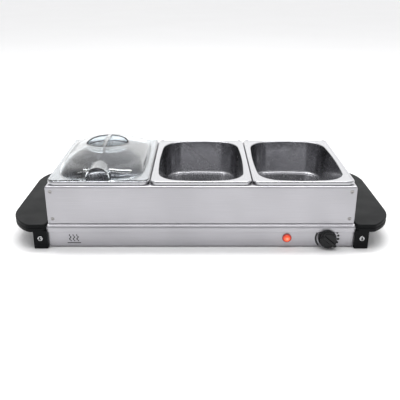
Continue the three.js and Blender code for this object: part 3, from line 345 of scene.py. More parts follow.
def start(name, **sockets):
    """A new material with one Principled BSDF, whose constant sockets are set here."""
    material = bpy.data.materials.new(name)
    material.use_nodes = True
    tree = material.node_tree
    shader = tree.nodes["Principled BSDF"]
    for key, value in sockets.items():
        shader.inputs[key.replace("_", " ")].default_value = value
    return material, tree, shader


def wire(tree, shader, **outputs):
    """Links outputs to the shader's sockets, each named by its key."""
    for key, output in outputs.items():
        tree.links.new(output, shader.inputs[key.replace("_", " ")])


MADE = {}


def once(make):
    """Keeps each material after it is first made."""

    def made(*choices):
        key = (make.__name__, *choices)
        if key not in MADE:
            MADE[key] = make(*choices)
        return MADE[key]

    return made


@once
def brushed_stainless(along):
    """Stainless 430 sheet with a No. 4 belt-brushed finish: satin, with long fine scratches along one axis.

    The scratches are about 0.1 mm apart on the real sheet and are drawn at grain_width, so that they show.
    """
    sizes, colours = bpy.context.scene.server_sizes, bpy.context.scene.server_colours
    name = f"brushed_stainless_{along}"
    material, tree, shader = start(name, Metallic=1.0, Anisotropic=0.6, Anisotropic_Rotation=0.25)
    place = add(tree, "ShaderNodeTexCoord").outputs["Object"]
    long_way, fine = 1 / sizes.grain_length, 1 / sizes.grain_width
    scale = (long_way, fine, fine) if along == "x" else (fine, long_way, fine)
    stretched = add(tree, "ShaderNodeMapping", {"Vector": place, "Scale": scale})
    scratches = {"Vector": stretched.outputs[0], "Scale": 1.0, "Detail": 3.0, "Roughness": 0.6}
    grain = add(tree, "ShaderNodeTexNoise", scratches)
    clouds = add(tree, "ShaderNodeTexNoise", {"Vector": place, "Scale": 9.0, "Detail": 2.0})
    mixed = add(
        tree, "ShaderNodeMath", {0: grain.outputs[0], 1: clouds.outputs[0]}, operation="ADD"
    )
    dark = [channel * 0.86 for channel in colours.steel[:3]] + [1.0]
    light = [min(1.0, channel * 1.08) for channel in colours.steel[:3]] + [1.0]
    tone = add(tree, "ShaderNodeMapRange", {"Value": mixed.outputs[0], "From Min": 0.7, "From Max": 1.3})
    tint = add(tree, "ShaderNodeMix", {"Factor": tone.outputs[0], 6: dark, 7: light}, data_type="RGBA")
    gloss = add(
        tree,
        "ShaderNodeMapRange",
        {"Value": grain.outputs[0], "From Min": 0.3, "From Max": 0.7, "To Min": 0.3, "To Max": 0.44},
    )
    ridge = add(tree, "ShaderNodeBump", {"Height": grain.outputs[0], "Strength": 0.25, "Distance": 0.03 * MM})
    tangent = add(tree, "ShaderNodeCombineXYZ", {"X" if along == "x" else "Y": 1.0})
    wire(tree, shader, Base_Color=tint.outputs[2], Roughness=gloss.outputs[0], Normal=ridge.outputs[0])
    wire(tree, shader, Tangent=tangent.outputs[0])
    return material


@once
def drawn_stainless():
    """Stainless 304 pressed into a pan and buffed: nearly a mirror, blurred by fine swirled scratches."""
    colours = bpy.context.scene.server_colours
    material, tree, shader = start("drawn_stainless", Metallic=1.0)
    place = add(tree, "ShaderNodeTexCoord").outputs["Object"]
    swirled = {"Vector": place, "Scale": 14.0, "Detail": 3.0, "Distortion": 1.5}
    swirl = add(tree, "ShaderNodeTexNoise", swirled)
    stretched = add(tree, "ShaderNodeMapping", {"Vector": place, "Scale": (1200, 60, 500)})
    scratch = add(tree, "ShaderNodeTexNoise", {"Vector": stretched.outputs[0], "Scale": 1.0, "Detail": 2.0})
    dark = [channel * 0.9 for channel in colours.pan_steel[:3]] + [1.0]
    light = list(colours.pan_steel)
    tint = add(tree, "ShaderNodeMix", {"Factor": swirl.outputs[0], 6: dark, 7: light}, data_type="RGBA")
    both = add(tree, "ShaderNodeMath", {0: swirl.outputs[0], 1: scratch.outputs[0]}, operation="ADD")
    gloss = add(
        tree,
        "ShaderNodeMapRange",
        {"Value": both.outputs[0], "From Min": 0.7, "From Max": 1.3, "To Min": 0.14, "To Max": 0.3},
    )
    raised = {"Height": scratch.outputs[0], "Strength": 0.12, "Distance": 0.02 * MM}
    ridge = add(tree, "ShaderNodeBump", raised)
    wire(tree, shader, Base_Color=tint.outputs[2], Roughness=gloss.outputs[0], Normal=ridge.outputs[0])
    return material


@once
def zinc_plated_steel():
    """Mild steel sheet, electroplated with zinc: pale grey with faint crystal patches."""
    material, tree, shader = start("zinc_plated_steel", Metallic=1.0)
    place = add(tree, "ShaderNodeTexCoord").outputs["Object"]
    spangle = add(tree, "ShaderNodeTexVoronoi", {"Vector": place, "Scale": 140.0})
    blur = add(tree, "ShaderNodeTexNoise", {"Vector": place, "Scale": 40.0, "Detail": 4.0})
    patches = {0: spangle.outputs["Color"], 1: blur.outputs[0]}
    mixed = add(tree, "ShaderNodeMath", patches, operation="MULTIPLY")
    tint = add(
        tree,
        "ShaderNodeMix",
        {"Factor": mixed.outputs[0], 6: linear("#8F9396"), 7: linear("#B9BDC0")},
        data_type="RGBA",
    )
    gloss = add(tree, "ShaderNodeMapRange", {"Value": mixed.outputs[0], "To Min": 0.36, "To Max": 0.55})
    wire(tree, shader, Base_Color=tint.outputs[2], Roughness=gloss.outputs[0])
    return material


@once
def moulded_black(grit_mm, rough, shine):
    """Black glass-filled polypropylene from a spark-eroded mould: a fine even grit and a soft sheen."""
    colours = bpy.context.scene.server_colours
    material, tree, shader = start(f"moulded_black_{int(rough * 100)}", Specular_IOR_Level=shine)
    place = add(tree, "ShaderNodeTexCoord").outputs["Object"]
    grit = add(tree, "ShaderNodeTexNoise", {"Vector": place, "Scale": 1 / (grit_mm * MM), "Detail": 2.0})
    cloud = add(tree, "ShaderNodeTexNoise", {"Vector": place, "Scale": 22.0, "Detail": 3.0})
    dark = [channel * 0.8 for channel in colours.plastic[:3]] + [1.0]
    light = [channel * 1.25 for channel in colours.plastic[:3]] + [1.0]
    tint = add(tree, "ShaderNodeMix", {"Factor": cloud.outputs[0], 6: dark, 7: light}, data_type="RGBA")
    spread = {"From Min": 0.3, "From Max": 0.7, "To Min": rough - 0.06, "To Max": rough + 0.06}
    gloss = add(tree, "ShaderNodeMapRange", {"Value": cloud.outputs[0], **spread})
    ridge = add(tree, "ShaderNodeBump", {"Height": grit.outputs[0], "Strength": 0.35, "Distance": 0.06 * MM})
    wire(tree, shader, Base_Color=tint.outputs[2], Roughness=gloss.outputs[0], Normal=ridge.outputs[0])
    return material


@once
def clear_polystyrene():
    """Clear injection-moulded polystyrene: glassy, with a faint haze and flow marks from the mould."""
    colours = bpy.context.scene.server_colours
    material, tree, shader = start(
        "clear_polystyrene", IOR=1.55, Transmission_Weight=1.0, Base_Color=tuple(colours.lid)
    )
    place = add(tree, "ShaderNodeTexCoord").outputs["Object"]
    haze = add(tree, "ShaderNodeTexNoise", {"Vector": place, "Scale": 18.0, "Detail": 3.0})
    gloss = add(
        tree,
        "ShaderNodeMapRange",
        {"Value": haze.outputs[0], "From Min": 0.3, "From Max": 0.7, "To Min": 0.03, "To Max": 0.1},
    )
    flow = add(tree, "ShaderNodeBump", {"Height": haze.outputs[0], "Strength": 0.1, "Distance": 0.2 * MM})
    wire(tree, shader, Roughness=gloss.outputs[0], Normal=flow.outputs[0])
    return material


@once
def lit_lens(x, z):
    """Red-orange polycarbonate lens over a lit neon lamp: its glow is palest in the middle, where a painted
    highlight also sits, and deep red at its rim.
    """
    colours = bpy.context.scene.server_colours
    gloss = {"Roughness": 0.12, "IOR": 1.58, "Coat_Weight": 0.4}
    material, tree, shader = start("lit_lens", Emission_Strength=0.75, **gloss)
    place = add(tree, "ShaderNodeTexCoord").outputs["Object"]
    centred = add(tree, "ShaderNodeVectorMath", {0: place, 1: (x, 0, z)}, operation="SUBTRACT")
    flat = add(tree, "ShaderNodeVectorMath", {0: centred.outputs[0], 1: (1, 0, 1)}, operation="MULTIPLY")
    away = add(tree, "ShaderNodeVectorMath", {0: flat.outputs[0]}, operation="LENGTH")
    share = add(tree, "ShaderNodeMapRange", {"Value": away.outputs["Value"], "From Max": 7.7 * MM})
    # The emission ramp is the lamp's glow with a painted highlight in its pale middle; the base colour
    # darkens towards the rim.
    glow_with_painted_highlight = add(tree, "ShaderNodeValToRGB", {0: share.outputs[0]})
    stops = glow_with_painted_highlight.color_ramp.elements
    stops[0].position, stops[0].color = 0.0, linear("#FFC9A8")
    stops[1].position, stops[1].color = 1.0, linear("#4E0E08")
    for position, value in ((0.3, "#FF8458"), (0.6, "#E8481E"), (0.76, "#BC2E16"), (0.86, "#6E160D")):
        stop = stops.new(position)
        stop.color = linear(value)
    red = {"Factor": share.outputs[0], 6: tuple(colours.lamp), 7: linear("#8E1D10")}
    body = add(tree, "ShaderNodeMix", red, data_type="RGBA")
    wire(tree, shader, Emission_Color=glow_with_painted_highlight.outputs[0], Base_Color=body.outputs[2])
    return material


@once
def nickel_with_painted_recess_shade(x, y_face, z):
    """Steel screws, bright nickel plated, with near-black painted shade in the cross recess, where some dirt
    also stays.

    The recess is where a point is over 0.5 mm behind the crown and under 2.9 mm from its screw's axis. The
    four screws stand at plus and minus x and y, so absolute coordinates serve them all.
    """
    material, tree, shader = start("nickel_with_painted_recess_shade", Metallic=1.0)
    place = add(tree, "ShaderNodeTexCoord").outputs["Object"]
    marks = add(tree, "ShaderNodeTexNoise", {"Vector": place, "Scale": 900.0, "Detail": 2.0})
    tint = add(
        tree,
        "ShaderNodeMix",
        {"Factor": marks.outputs[0], 6: linear("#C4C5C7"), 7: linear("#EDEEEE")},
        data_type="RGBA",
    )
    mirrored = add(tree, "ShaderNodeVectorMath", {0: place}, operation="ABSOLUTE")
    centred = add(tree, "ShaderNodeVectorMath", {0: mirrored.outputs[0], 1: (x, 0, z)}, operation="SUBTRACT")
    flat = add(tree, "ShaderNodeVectorMath", {0: centred.outputs[0], 1: (1, 0, 1)}, operation="MULTIPLY")
    away = add(tree, "ShaderNodeVectorMath", {0: flat.outputs[0]}, operation="LENGTH")
    depth = add(tree, "ShaderNodeSeparateXYZ", {0: mirrored.outputs[0]})
    proud = add(
        tree,
        "ShaderNodeMapRange",
        {"Value": depth.outputs["Y"], "From Min": y_face - 1.3 * MM, "From Max": y_face - 0.5 * MM},
    )
    edge = {"Value": away.outputs["Value"], "From Min": 2.9 * MM, "From Max": 3.2 * MM}
    rim = add(tree, "ShaderNodeMapRange", edge)
    # The mask is 1 on the crown and rim and 0 in the recess, where the shade is painted.
    outside_recess_shade = add(tree, "ShaderNodeMath", {0: proud.outputs[0], 1: rim.outputs[0]}, operation="MAXIMUM")
    # Near black #1B1B1D in the cross recess is painted shade with some real dirt; the crown keeps the nickel
    # tint.
    colour = add(
        tree,
        "ShaderNodeMix",
        {"Factor": outside_recess_shade.outputs[0], 6: linear("#1B1B1D"), 7: tint.outputs[2]},
        data_type="RGBA",
    )
    gloss = add(tree, "ShaderNodeMapRange", {"Value": outside_recess_shade.outputs[0], "To Min": 0.6, "To Max": 0.16})
    wire(tree, shader, Base_Color=colour.outputs[2], Roughness=gloss.outputs[0])
    return material


@once
def grained(name, dark, light, grain_mm, low, high, metallic, depth_mm):
    """A plain body with one grain: rubber, mica board, fibre blanket, steatite, brass or silicone sleeve."""
    material, tree, shader = start(name, Metallic=metallic)
    place = add(tree, "ShaderNodeTexCoord").outputs["Object"]
    grain = add(tree, "ShaderNodeTexNoise", {"Vector": place, "Scale": 1 / (grain_mm * MM), "Detail": 4.0})
    shades = {"Factor": grain.outputs[0], 6: linear(dark), 7: linear(light)}
    tint = add(tree, "ShaderNodeMix", shades, data_type="RGBA")
    gloss = add(tree, "ShaderNodeMapRange", {"Value": grain.outputs[0], "To Min": low, "To Max": high})
    raised = {"Height": grain.outputs[0], "Strength": 0.5, "Distance": depth_mm * MM}
    ridge = add(tree, "ShaderNodeBump", raised)
    wire(tree, shader, Base_Color=tint.outputs[2], Roughness=gloss.outputs[0], Normal=ridge.outputs[0])
    return material


def weld_tint_and_painted_shade():
    """Stainless steel at a spot weld, a warm grey darker than the sheet: partly heat tint, partly painted
    shade that makes the dimples show.
    """
    return grained("weld_tint_and_painted_shade", "#8E8C8B", "#B4B2B0", 0.9, 0.26, 0.42, 1.0, 0.02)


def foot_rubber():
    """Matt nitrile rubber."""
    return grained("foot_rubber", "#161616", "#242423", 0.6, 0.75, 0.95, 0.0, 0.05)


def mica_board():
    """Phlogopite mica paper board: silvery brown flakes a few millimetres across."""
    return grained("mica_board", "#6E6450", "#B3A88C", 3.5, 0.35, 0.6, 0.0, 0.03)


def fibre_blanket():
    """Pressed ceramic-fibre blanket: off-white, loose and dull."""
    return grained("fibre_blanket", "#C9C4B6", "#ECE8DE", 1.8, 0.9, 1.0, 0.0, 0.3)


def steatite():
    """Unglazed steatite ceramic: cream, fine-grained and dry."""
    return grained("steatite", "#D5CDBC", "#EFE9DC", 0.8, 0.45, 0.6, 0.0, 0.02)


def turned_brass():
    """Free-cutting brass, turned: bright yellow with a light tarnish."""
    return grained("turned_brass", "#9C7A34", "#D2B263", 2.2, 0.2, 0.42, 1.0, 0.01)


def silicone_sleeve():
    """Glass-braid silicone sleeve, brick red."""
    return grained("silicone_sleeve", "#7E2A1A", "#B64B31", 0.5, 0.5, 0.75, 0.0, 0.08)


def panel_ink():
    """Black screen-printed enamel ink on the steel panel, slightly uneven at its edges."""
    return grained("panel_ink", "#0B0B0C", "#18181A", 0.3, 0.4, 0.6, 0.0, 0.01)


# ---------------------------------------------------------------- pieces: base and pan frame
def sloped(bend, share):
    """A bend drawn towards its chord by a share, which makes it a slope with two soft edges."""
    chord = np.linspace(bend[0], bend[-1], len(bend))
    return bend * (1 - share) + chord * share


def shell_section(inset, z_low, z_high, radius, sheet):
    """A pressed plate's edge as (inset, z), with its lip curled in under the skirt.

    It runs down the inside of the shoulder, round the curled lip and up the outside.
    """
    inner = sloped(arc((inset + radius, z_high - radius), radius - sheet, 90, 180, 12), 0.65)
    outer = sloped(arc((inset + radius, z_high - radius), radius, 180, 90, 12), 0.65)
    turn = 1.6 * sheet
    end = arc((inset + turn, z_low + sheet / 2), sheet / 2, 90, -90, 4)
    curl = arc((inset + turn, z_low + turn), turn, 270, 180, 5)
    back = arc((inset + turn, z_low + turn), turn - sheet, 180, 270, 5)
    return np.concatenate([inner, back, end, curl, outer])


def warming_plate_shape():
    """The plate: its edge section carried round a rounded rectangle, closed over by the flat top."""
    sizes = bpy.context.scene.server_sizes
    high = span("warming_plate")[1]
    half = high[:2]
    section = shell_section(0, high[2] - sizes.skirt, high[2], sizes.shoulder, sizes.sheet)
    flat = np.array([[sizes.shoulder * 2, high[2] - sizes.sheet]])
    section = np.concatenate([flat, section, [[sizes.shoulder * 2, high[2]]]])
    corner = 6 * MM
    rows = [(half[0] - d, half[1] - d, max(corner - d, 0.4 * MM), z) for d, z in section]
    return closed_skin(rounded_rings(rows, 8))


def stud_shapes():
    """Four welded M4 studs, turned with a thread of 0.7 mm pitch as a saw-tooth of rings."""
    low = span("clamp_nut_front_left", "clamp_nut_rear_right")[0]
    pitch, radius = 0.7 * MM, 2 * MM
    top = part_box("mica_heater_left")[0][2] + 11 * MM
    bottom = low[2] - 2 * MM
    profile = [(0, bottom), (radius * 0.7, bottom)]
    for place in np.arange(bottom + 0.3 * MM, top - pitch, pitch):
        profile += [(radius * 0.84, place), (radius, place + pitch / 2)]
    profile += [(radius * 0.84, top), (0, top)]
    places = []
    for row in FACES:
        for side in SIDES:
            nut_low, nut_high = span(f"clamp_nut_{row}_{side}")
            middle = (nut_low + nut_high) / 2
            places.append(turned(profile, middle[0], middle[1], 16, "z"))
    return together(*places)


def fold_section(sizes, low_z, high_z, lip, hem):
    """A folded side's section as (depth, z): hem, wall, bend and top lip, with a closed outline."""
    sheet, bend, foot = sizes.sheet, sizes.frame_bend, 1.0 * MM
    edge = sheet / 2
    return np.concatenate(
        [
            arc((foot, low_z + foot), foot, 180, 270, 5),
            arc((hem - edge, low_z + edge), edge, -90, 90, 4),
            arc((foot, low_z + foot), foot - sheet, 270, 180, 5),
            arc((bend, high_z - bend), bend - sheet, 180, 90, 7),
            arc((lip - edge, high_z - edge), edge, -90, 90, 4),
            arc((bend, high_z - bend), bend, 90, 180, 7),
        ]
    )


def frame_side(length, outer, section, turns):
    """A folded side: its section carried along a straight run, mitred, then turned by quarter turns."""
    gap = 0.15 * MM
    depth, height = section[:, 0], section[:, 1]
    stations = []
    for share in np.linspace(-1, 1, 9):
        along = share * (length - gap - depth)
        stations.append(np.stack([along, depth - outer, height], -1))
    points, faces = closed_skin(np.stack(stations))
    angle = turns * math.pi / 2
    cosine, sine = math.cos(angle), math.sin(angle)
    turn = np.array([[cosine, sine, 0], [-sine, cosine, 0], [0, 0, 1]])
    return points @ turn, faces


def weld_marks(low, high, inset_x, inset_z):
    """Spot welds on a wall facing -Y: a shallow dish inside a raised ring, 6 mm across, turned about Y."""
    y = low[1]
    profile = [(0, 0.3), (0, -0.04), (1.5, -0.06), (2.0, -0.5), (2.4, -0.54), (3.0, 0.0), (3.0, 0.3)]
    profile.append((0, 0.3))
    placed = [(radius * MM, y + depth * MM) for radius, depth in profile]
    marks = []
    for x in (low[0] + inset_x, high[0] - inset_x):
        for z in (low[2] + inset_z, high[2] - inset_z):
            marks.append(turned(placed, x, z, 32))
    return together(*marks)


# ---------------------------------------------------------------- pieces: pans and lid
def pan_shape(node):
    """A drawn pan: one skin from under its floor, out over the rolled rim and back down to the floor.

    Each row is a rounded rectangle whose corner grows from the rim's 12 mm to the mouth's, and whose
    sides bow out a little at the mouth.
    """
    sizes = bpy.context.scene.server_sizes
    low, high = span(node)
    half = (high[:2] - low[:2]) / 2
    top, floor = high[2], low[2]
    wall, land, mouth, rim, draft = sizes.pan_wall, sizes.pan_land, sizes.pan_corner, 12 * MM, 2.7 * MM
    land_z, lip_z, fillet, roll = top - 1.4 * MM, top - 6.3 * MM, 5.5 * MM, 1.6 * MM
    lean = math.degrees(math.atan2(draft, top - floor))
    floor_edge = land + draft

    def bowl(radius, thick):
        """The bowl from the floor's edge up to the land, as (inset, z), with both fillets."""
        low_turn = arc((floor_edge + fillet, floor + wall + fillet), fillet + thick, 270, 180 + lean, 7)
        high_turn = arc((land - roll, land_z - roll), radius, lean, 90, 6)
        return np.concatenate([low_turn, high_turn])

    outside = bowl(roll - wall, wall)
    inside = bowl(roll, 0)[::-1]
    outer_roll = arc((2.2 * MM, top - 2.2 * MM), 2.2 * MM - wall, 90, 180, 5)
    inner_roll = arc((2.2 * MM, top - 2.2 * MM), 2.2 * MM, 180, 90, 6)
    dip_out = np.array([[4.4 * MM, land_z - wall], [3.4 * MM, land_z - wall + 0.5 * MM]])
    low_dip = [[3.6 * MM, land_z + 0.6 * MM], [4.2 * MM, land_z + 0.1 * MM]]
    dip_in = np.array([[2.9 * MM, top - 0.15 * MM], *low_dip])
    hem = arc((wall / 2, lip_z + wall / 2), wall / 2, 360, 180, 3)
    path = np.concatenate([outside, dip_out, outer_roll, hem, inner_roll, dip_in, [[5 * MM, land_z]], inside])
    rows = []
    for inset, z in path:
        toward = float(smooth((inset - 3.5 * MM) / (land - roll - 3.5 * MM)))
        corner = (rim - min(inset, 3.5 * MM)) * (1 - toward) + mouth * toward - max(0.0, inset - land) * 0.8
        bow = 2.2 * MM * toward
        rows.append((half[0] - inset - bow, half[1] - inset - bow, corner, z, bow))
    points = rounded_rings(rows, 12, 10)
    middle = (low + high) / 2
    points[..., 0] += middle[0]
    points[..., 1] += middle[1]
    return closed_skin(points)


def dome_rows(foot, base, height, shrink, mouth):
    """The dome from its foot to its crown, as rows whose size s falls from 1 to 0.06.

    A row's half sizes are the foot's times s, and it rises by height times 1 - 0.75 s^2 - 0.25 s^34. Its
    corner opens to half a circle five times as fast as the row shrinks, and its bow fades as s^8.
    """
    rows = []
    for size in 1 - 0.94 * np.linspace(0, 1, 34) ** 1.6:
        rise = 1 - 0.75 * size**2 - 0.25 * size**34
        corner = min(mouth + (foot[0] - mouth) * (1 - size) * 5, foot[0] * size - 1 * MM) - shrink
        bow = 2.2 * MM * size**8
        half = foot * size - shrink - bow
        rows.append((half[0], half[1], min(corner, half[0] - 0.2 * MM), base + height * rise, bow))
    return rows


def half_moon(radius, fin, draft, low_z, high_z, side):
    """A half-moon cutter: a circle cut off beside the fin, its wall leaning out by the draft."""
    rings = []
    for share in (0, 0.04, 0.12, 1):
        z = low_z + (high_z - low_z) * share
        grow = draft * share - 1.2 * MM * (1 - smooth(share / 0.12))
        r = radius + grow
        edge = fin - grow
        reach = math.acos(edge / r)
        angle = np.linspace(-reach, reach, 49)
        round_part = np.stack([r * np.cos(angle), r * np.sin(angle)], -1)
        across = np.linspace(1, -1, 15)[1:-1] * r * math.sin(reach)
        straight = np.stack([np.full_like(across, edge), across], -1)
        flat = np.concatenate([round_part, straight]) * side
        rings.append(np.concatenate([flat, np.full((len(flat), 1), z)], -1))
    return closed_skin(np.stack(rings))


def tunnel(radius, low_z, centre_z, y_low, y_high):
    """An arched bar: straight legs under a half circle, carried along Y."""
    half_circle = arc((0, centre_z), radius, 0, 180, 40)
    outline = np.concatenate([[[radius, low_z]], half_circle, [[-radius, low_z]]])
    rings = [np.stack([outline[:, 0], np.full(len(outline), y), outline[:, 1]], -1) for y in (y_low, y_high)]
    return closed_skin(np.stack(rings))


def lid_object():
    """The lid: a domed shell with its flange, less two half-moon grips, with the spoon arch let in."""
    sizes = bpy.context.scene.server_sizes
    low, high = span("lid_dome")
    pan_low, pan_high = span("pan_left")
    middle, half = (low + high) / 2, (high - low)[:2] / 2
    wall, peak = sizes.lid_wall, high[2]
    flange_z = pan_high[2] + 0.3 * MM
    mouth_half = (pan_high - pan_low)[:2] / 2 - sizes.pan_land
    flange_top, rib_low = flange_z + wall, low[2]
    foot, corner = mouth_half - 0.4 * MM, 11 * MM
    rib = dome_rows(foot, flange_z, 0, 0.6 * MM, sizes.pan_corner)[0]
    outer = [
        (*rib[:3], rib_low, rib[4]),
        rib,
        (half[0], half[1], corner, flange_z),
        (half[0], half[1], corner, flange_top - 0.6 * MM),
        (half[0] - 0.2 * MM, half[1] - 0.2 * MM, corner, flange_top - 0.2 * MM),
        (half[0] - 0.6 * MM, half[1] - 0.6 * MM, corner, flange_top),
        *dome_rows(foot, flange_top, peak - flange_top, 0, sizes.pan_corner),
    ]
    inner_rows = dome_rows(foot, flange_z, peak - flange_z - wall, wall, sizes.pan_corner)
    first = inner_rows[0]
    inner = [(first[0], first[1], first[2], rib_low - 1 * MM, first[4]), *inner_rows]
    dome = new_object("lid_domed_shell", closed_skin(rounded_rings(outer, 14, 12)))
    hollow = new_object("hollow", closed_skin(rounded_rings(inner, 14, 12)))
    floor, above, draft = peak - 14 * MM, peak + 3 * MM, 0.8 * MM
    radius, fin = 36 * MM, 4 * MM
    for side in (-1, 1):
        well = new_object("well", half_moon(radius, fin, draft, floor, above, side))
        solid = half_moon(radius + wall, fin - wall, draft, floor - wall, above, side)
        boss = new_object("boss", solid)
        combine(hollow, [boss], "DIFFERENCE")
        combine(dome, [well], "DIFFERENCE")
    arch_z, arch = flange_top + 0.5 * MM, 18.4 * MM
    front, back = -half[1] + 1.2 * MM, -mouth_half[1] + 34 * MM
    hood = new_object("hood", tunnel(arch + wall, flange_z, arch_z, front, back))
    notch = new_object("notch", tunnel(arch, rib_low - 1 * MM, arch_z, -half[1] - 1 * MM, back + 1 * MM))
    combine(dome, [hood], "UNION")
    combine(dome, [hollow, notch], "DIFFERENCE")
    dome.data.transform(matrix_to(middle[0], middle[1]))
    tidy_mesh(dome.data, 1e-6)
    return dome


def matrix_to(x, y, z=0.0):
    """A move to a place."""
    return Matrix.Translation((x, y, z))


# ---------------------------------------------------------------- pieces: handles, feet and screws
def handle_outline(inset, inner_x, outer_x, half_y, inner_corner):
    """A handle's plan: two small corners beside the base, and an end that sweeps round to a small round.

    The sweep is an 82 mm arc that starts 67 mm from the front or rear face, and a 12 mm arc joins it there.
    """
    sweep, run, small = 82 * MM, 67 * MM, 12 * MM
    sweep_x, sweep_y, round_y = outer_x - sweep, half_y - run, half_y - small
    meeting = math.asin((round_y - sweep_y) / (sweep - small))
    round_x, turn = sweep_x + (sweep - small) * math.cos(meeting), math.degrees(meeting)
    out_y = half_y - inset
    return np.concatenate(
        [
            arc((round_x, -round_y), small - inset, -90, -turn, 10),
            arc((sweep_x, -sweep_y), sweep - inset, -turn, 0, 22)[1:],
            arc((sweep_x, sweep_y), sweep - inset, 0, turn, 22),
            arc((round_x, round_y), small - inset, turn, 90, 10)[1:],
            arc((inner_x + inner_corner, out_y - inner_corner), inner_corner, 90, 180, 8),
            arc((inner_x + inner_corner, -out_y + inner_corner), inner_corner, 180, 270, 8),
        ]
    )


def stacked(levels):
    """Outlines at their heights as one skin: levels are (outline, z)."""
    rings = [np.concatenate([flat, np.full((len(flat), 1), z)], -1) for flat, z in levels]
    return closed_skin(np.stack(rings))


def handle_object(side):
    """An end handle: a hollow moulded wing with a rounded top edge, ribs inside and two legs."""
    sizes = bpy.context.scene.server_sizes
    name = "right" if side > 0 else "left"
    low, high = span("handle_right")
    plate_high, housing_high = span("warming_plate")[1], span("base_housing")[1]
    outer_x, half_y, top, leg_low = high[0], high[1], high[2], low[2]
    rim_z, under, wall, inner_x = top - 13 * MM, top - 3 * MM, 2.6 * MM, low[0]
    edge, groove = sizes.handle_round, 0.9 * MM
    wall_profile = [(1.0 * MM, rim_z), (0.2 * MM, rim_z + 0.8 * MM), (0, top - 7 * MM)]
    wall_profile += [(groove, top - 6.4 * MM), (groove, top - 5 * MM), (0, top - 4.4 * MM)]
    levels = [(handle_outline(inset, inner_x, outer_x, half_y, 8 * MM), z) for inset, z in wall_profile]
    for angle in np.radians(np.linspace(0, 90, 7)):
        inset = edge * (1 - math.cos(angle))
        outline = handle_outline(inset, inner_x + inset, outer_x, half_y, 8 * MM)
        levels.append((outline, top - edge + edge * math.sin(angle)))
    wing = new_object(f"handle_{name}_moulding", stacked(levels))
    grip_x = plate_high[0] + 2.3 * MM
    grip = [
        (handle_outline(wall, grip_x, outer_x, half_y, 3 * MM), rim_z - 1 * MM),
        (handle_outline(wall + 0.6 * MM, grip_x, outer_x, half_y, 3 * MM), under - 1.5 * MM),
        (handle_outline(wall + 1.8 * MM, grip_x + 1 * MM, outer_x, half_y, 3 * MM), under),
    ]
    cutters = [new_object("grip", stacked(grip))]
    gap = 0.3 * MM
    room_low = (inner_x - 1 * MM, -plate_high[1] - gap, rim_z - 1 * MM)
    room_high = (plate_high[0] + gap, plate_high[1] + gap, under)
    cutters.append(new_object("room", block(room_low, room_high)))
    combine(wing, cutters, "DIFFERENCE")
    leg_x = inner_x + 22.5 * MM
    added = []
    for face in (-1, 1):
        near, far, step = housing_high[1] + gap, half_y, plate_high[1] + gap
        reach = sorted((face * near, face * far))
        upper = sorted((face * step, face * far))
        back = sorted((face * (far - 34 * MM), face * far))
        skirt_z = plate_high[2] - sizes.skirt
        walls = (
            ((inner_x, reach[0], leg_low), (leg_x, reach[1], skirt_z - gap)),
            ((inner_x, upper[0], skirt_z - 4 * MM), (leg_x, upper[1], rim_z + 2 * MM)),
            ((plate_high[0] + gap, back[0], leg_low), (leg_x, back[1], rim_z + 2 * MM)),
        )
        added += [new_object("leg", block(near_end, far_end, 0.6 * MM)) for near_end, far_end in walls]
        rib_y = face * (half_y - 61.65 * MM)
        rib_low = (grip_x - 0.8 * MM, rib_y - 1 * MM, rim_z + 2 * MM)
        rib_high = (outer_x - wall / 2, rib_y + 1 * MM, under + 0.8 * MM)
        added.append(new_object("rib", block(rib_low, rib_high)))
    combine(wing, added, "UNION")
    holes = []
    for face in ("front", "rear"):
        screw_low, screw_high = span(f"handle_screw_{face}_right")
        middle = (screw_low + screw_high) / 2
        near = sorted((FACES[face] * (housing_high[1] - 1 * MM), FACES[face] * (half_y + 1 * MM)))
        profile = [(0, near[0]), (2.2 * MM, near[0]), (2.2 * MM, near[1]), (0, near[1])]
        holes.append(new_object("hole", turned(profile, middle[0], middle[2], 24)))
        foot = span(f"rubber_foot_{face}_right")
        pocket = block(foot[0] - gap, foot[1] + gap, 0.4 * MM)
        holes.append(new_object("pocket", pocket))
    combine(wing, holes, "DIFFERENCE")
    if side < 0:
            wing.data.transform(Matrix.Rotation(math.pi, 4, "Z"))
    tidy_mesh(wing.data, 1e-6)
    ease_edges(wing, 0.35 * MM, 2, 40)
    return wing


def screw_shape(x, z, y_face, y_back, outward):
    """A pan-head cross-recess screw on an axis along Y.

    The head is a grid in radius and angle: its crown is a flattened dome, and the recess goes down where
    the smaller of |u| and |v| is inside the cross's arm.
    """
    radius, depth = 4.3 * MM, 2.0 * MM
    around, steps = 96, 30
    angle = np.linspace(0, 2 * math.pi, around, endpoint=False)
    r = np.linspace(0, 1, steps)[:, None] ** 0.9 * radius
    u, v = r * np.cos(angle), r * np.sin(angle)
    crown = 2.1 * MM * (1 - (r / radius) ** 4) ** 0.5 * np.ones_like(u)
    arm = np.minimum(np.abs(u), np.abs(v))
    reach = np.maximum(np.abs(u), np.abs(v))
    cross = smooth((1.0 * MM - arm) / (0.3 * MM)) * smooth((2.9 * MM - reach) / (0.5 * MM))
    head = crown + 0.3 * MM - depth * cross
    seat = y_face + outward * -2.4 * MM
    points = np.stack([x + u, seat + outward * head, z + v], -1)
    shank = 1.9 * MM
    back = [(radius, seat), (shank, seat), (shank, y_back), (0, y_back)]
    rows = [np.stack([x + b * np.cos(angle), np.full(around, y), z + b * np.sin(angle)], -1) for b, y in back]
    return closed_skin(np.concatenate([points, np.stack(rows)]))


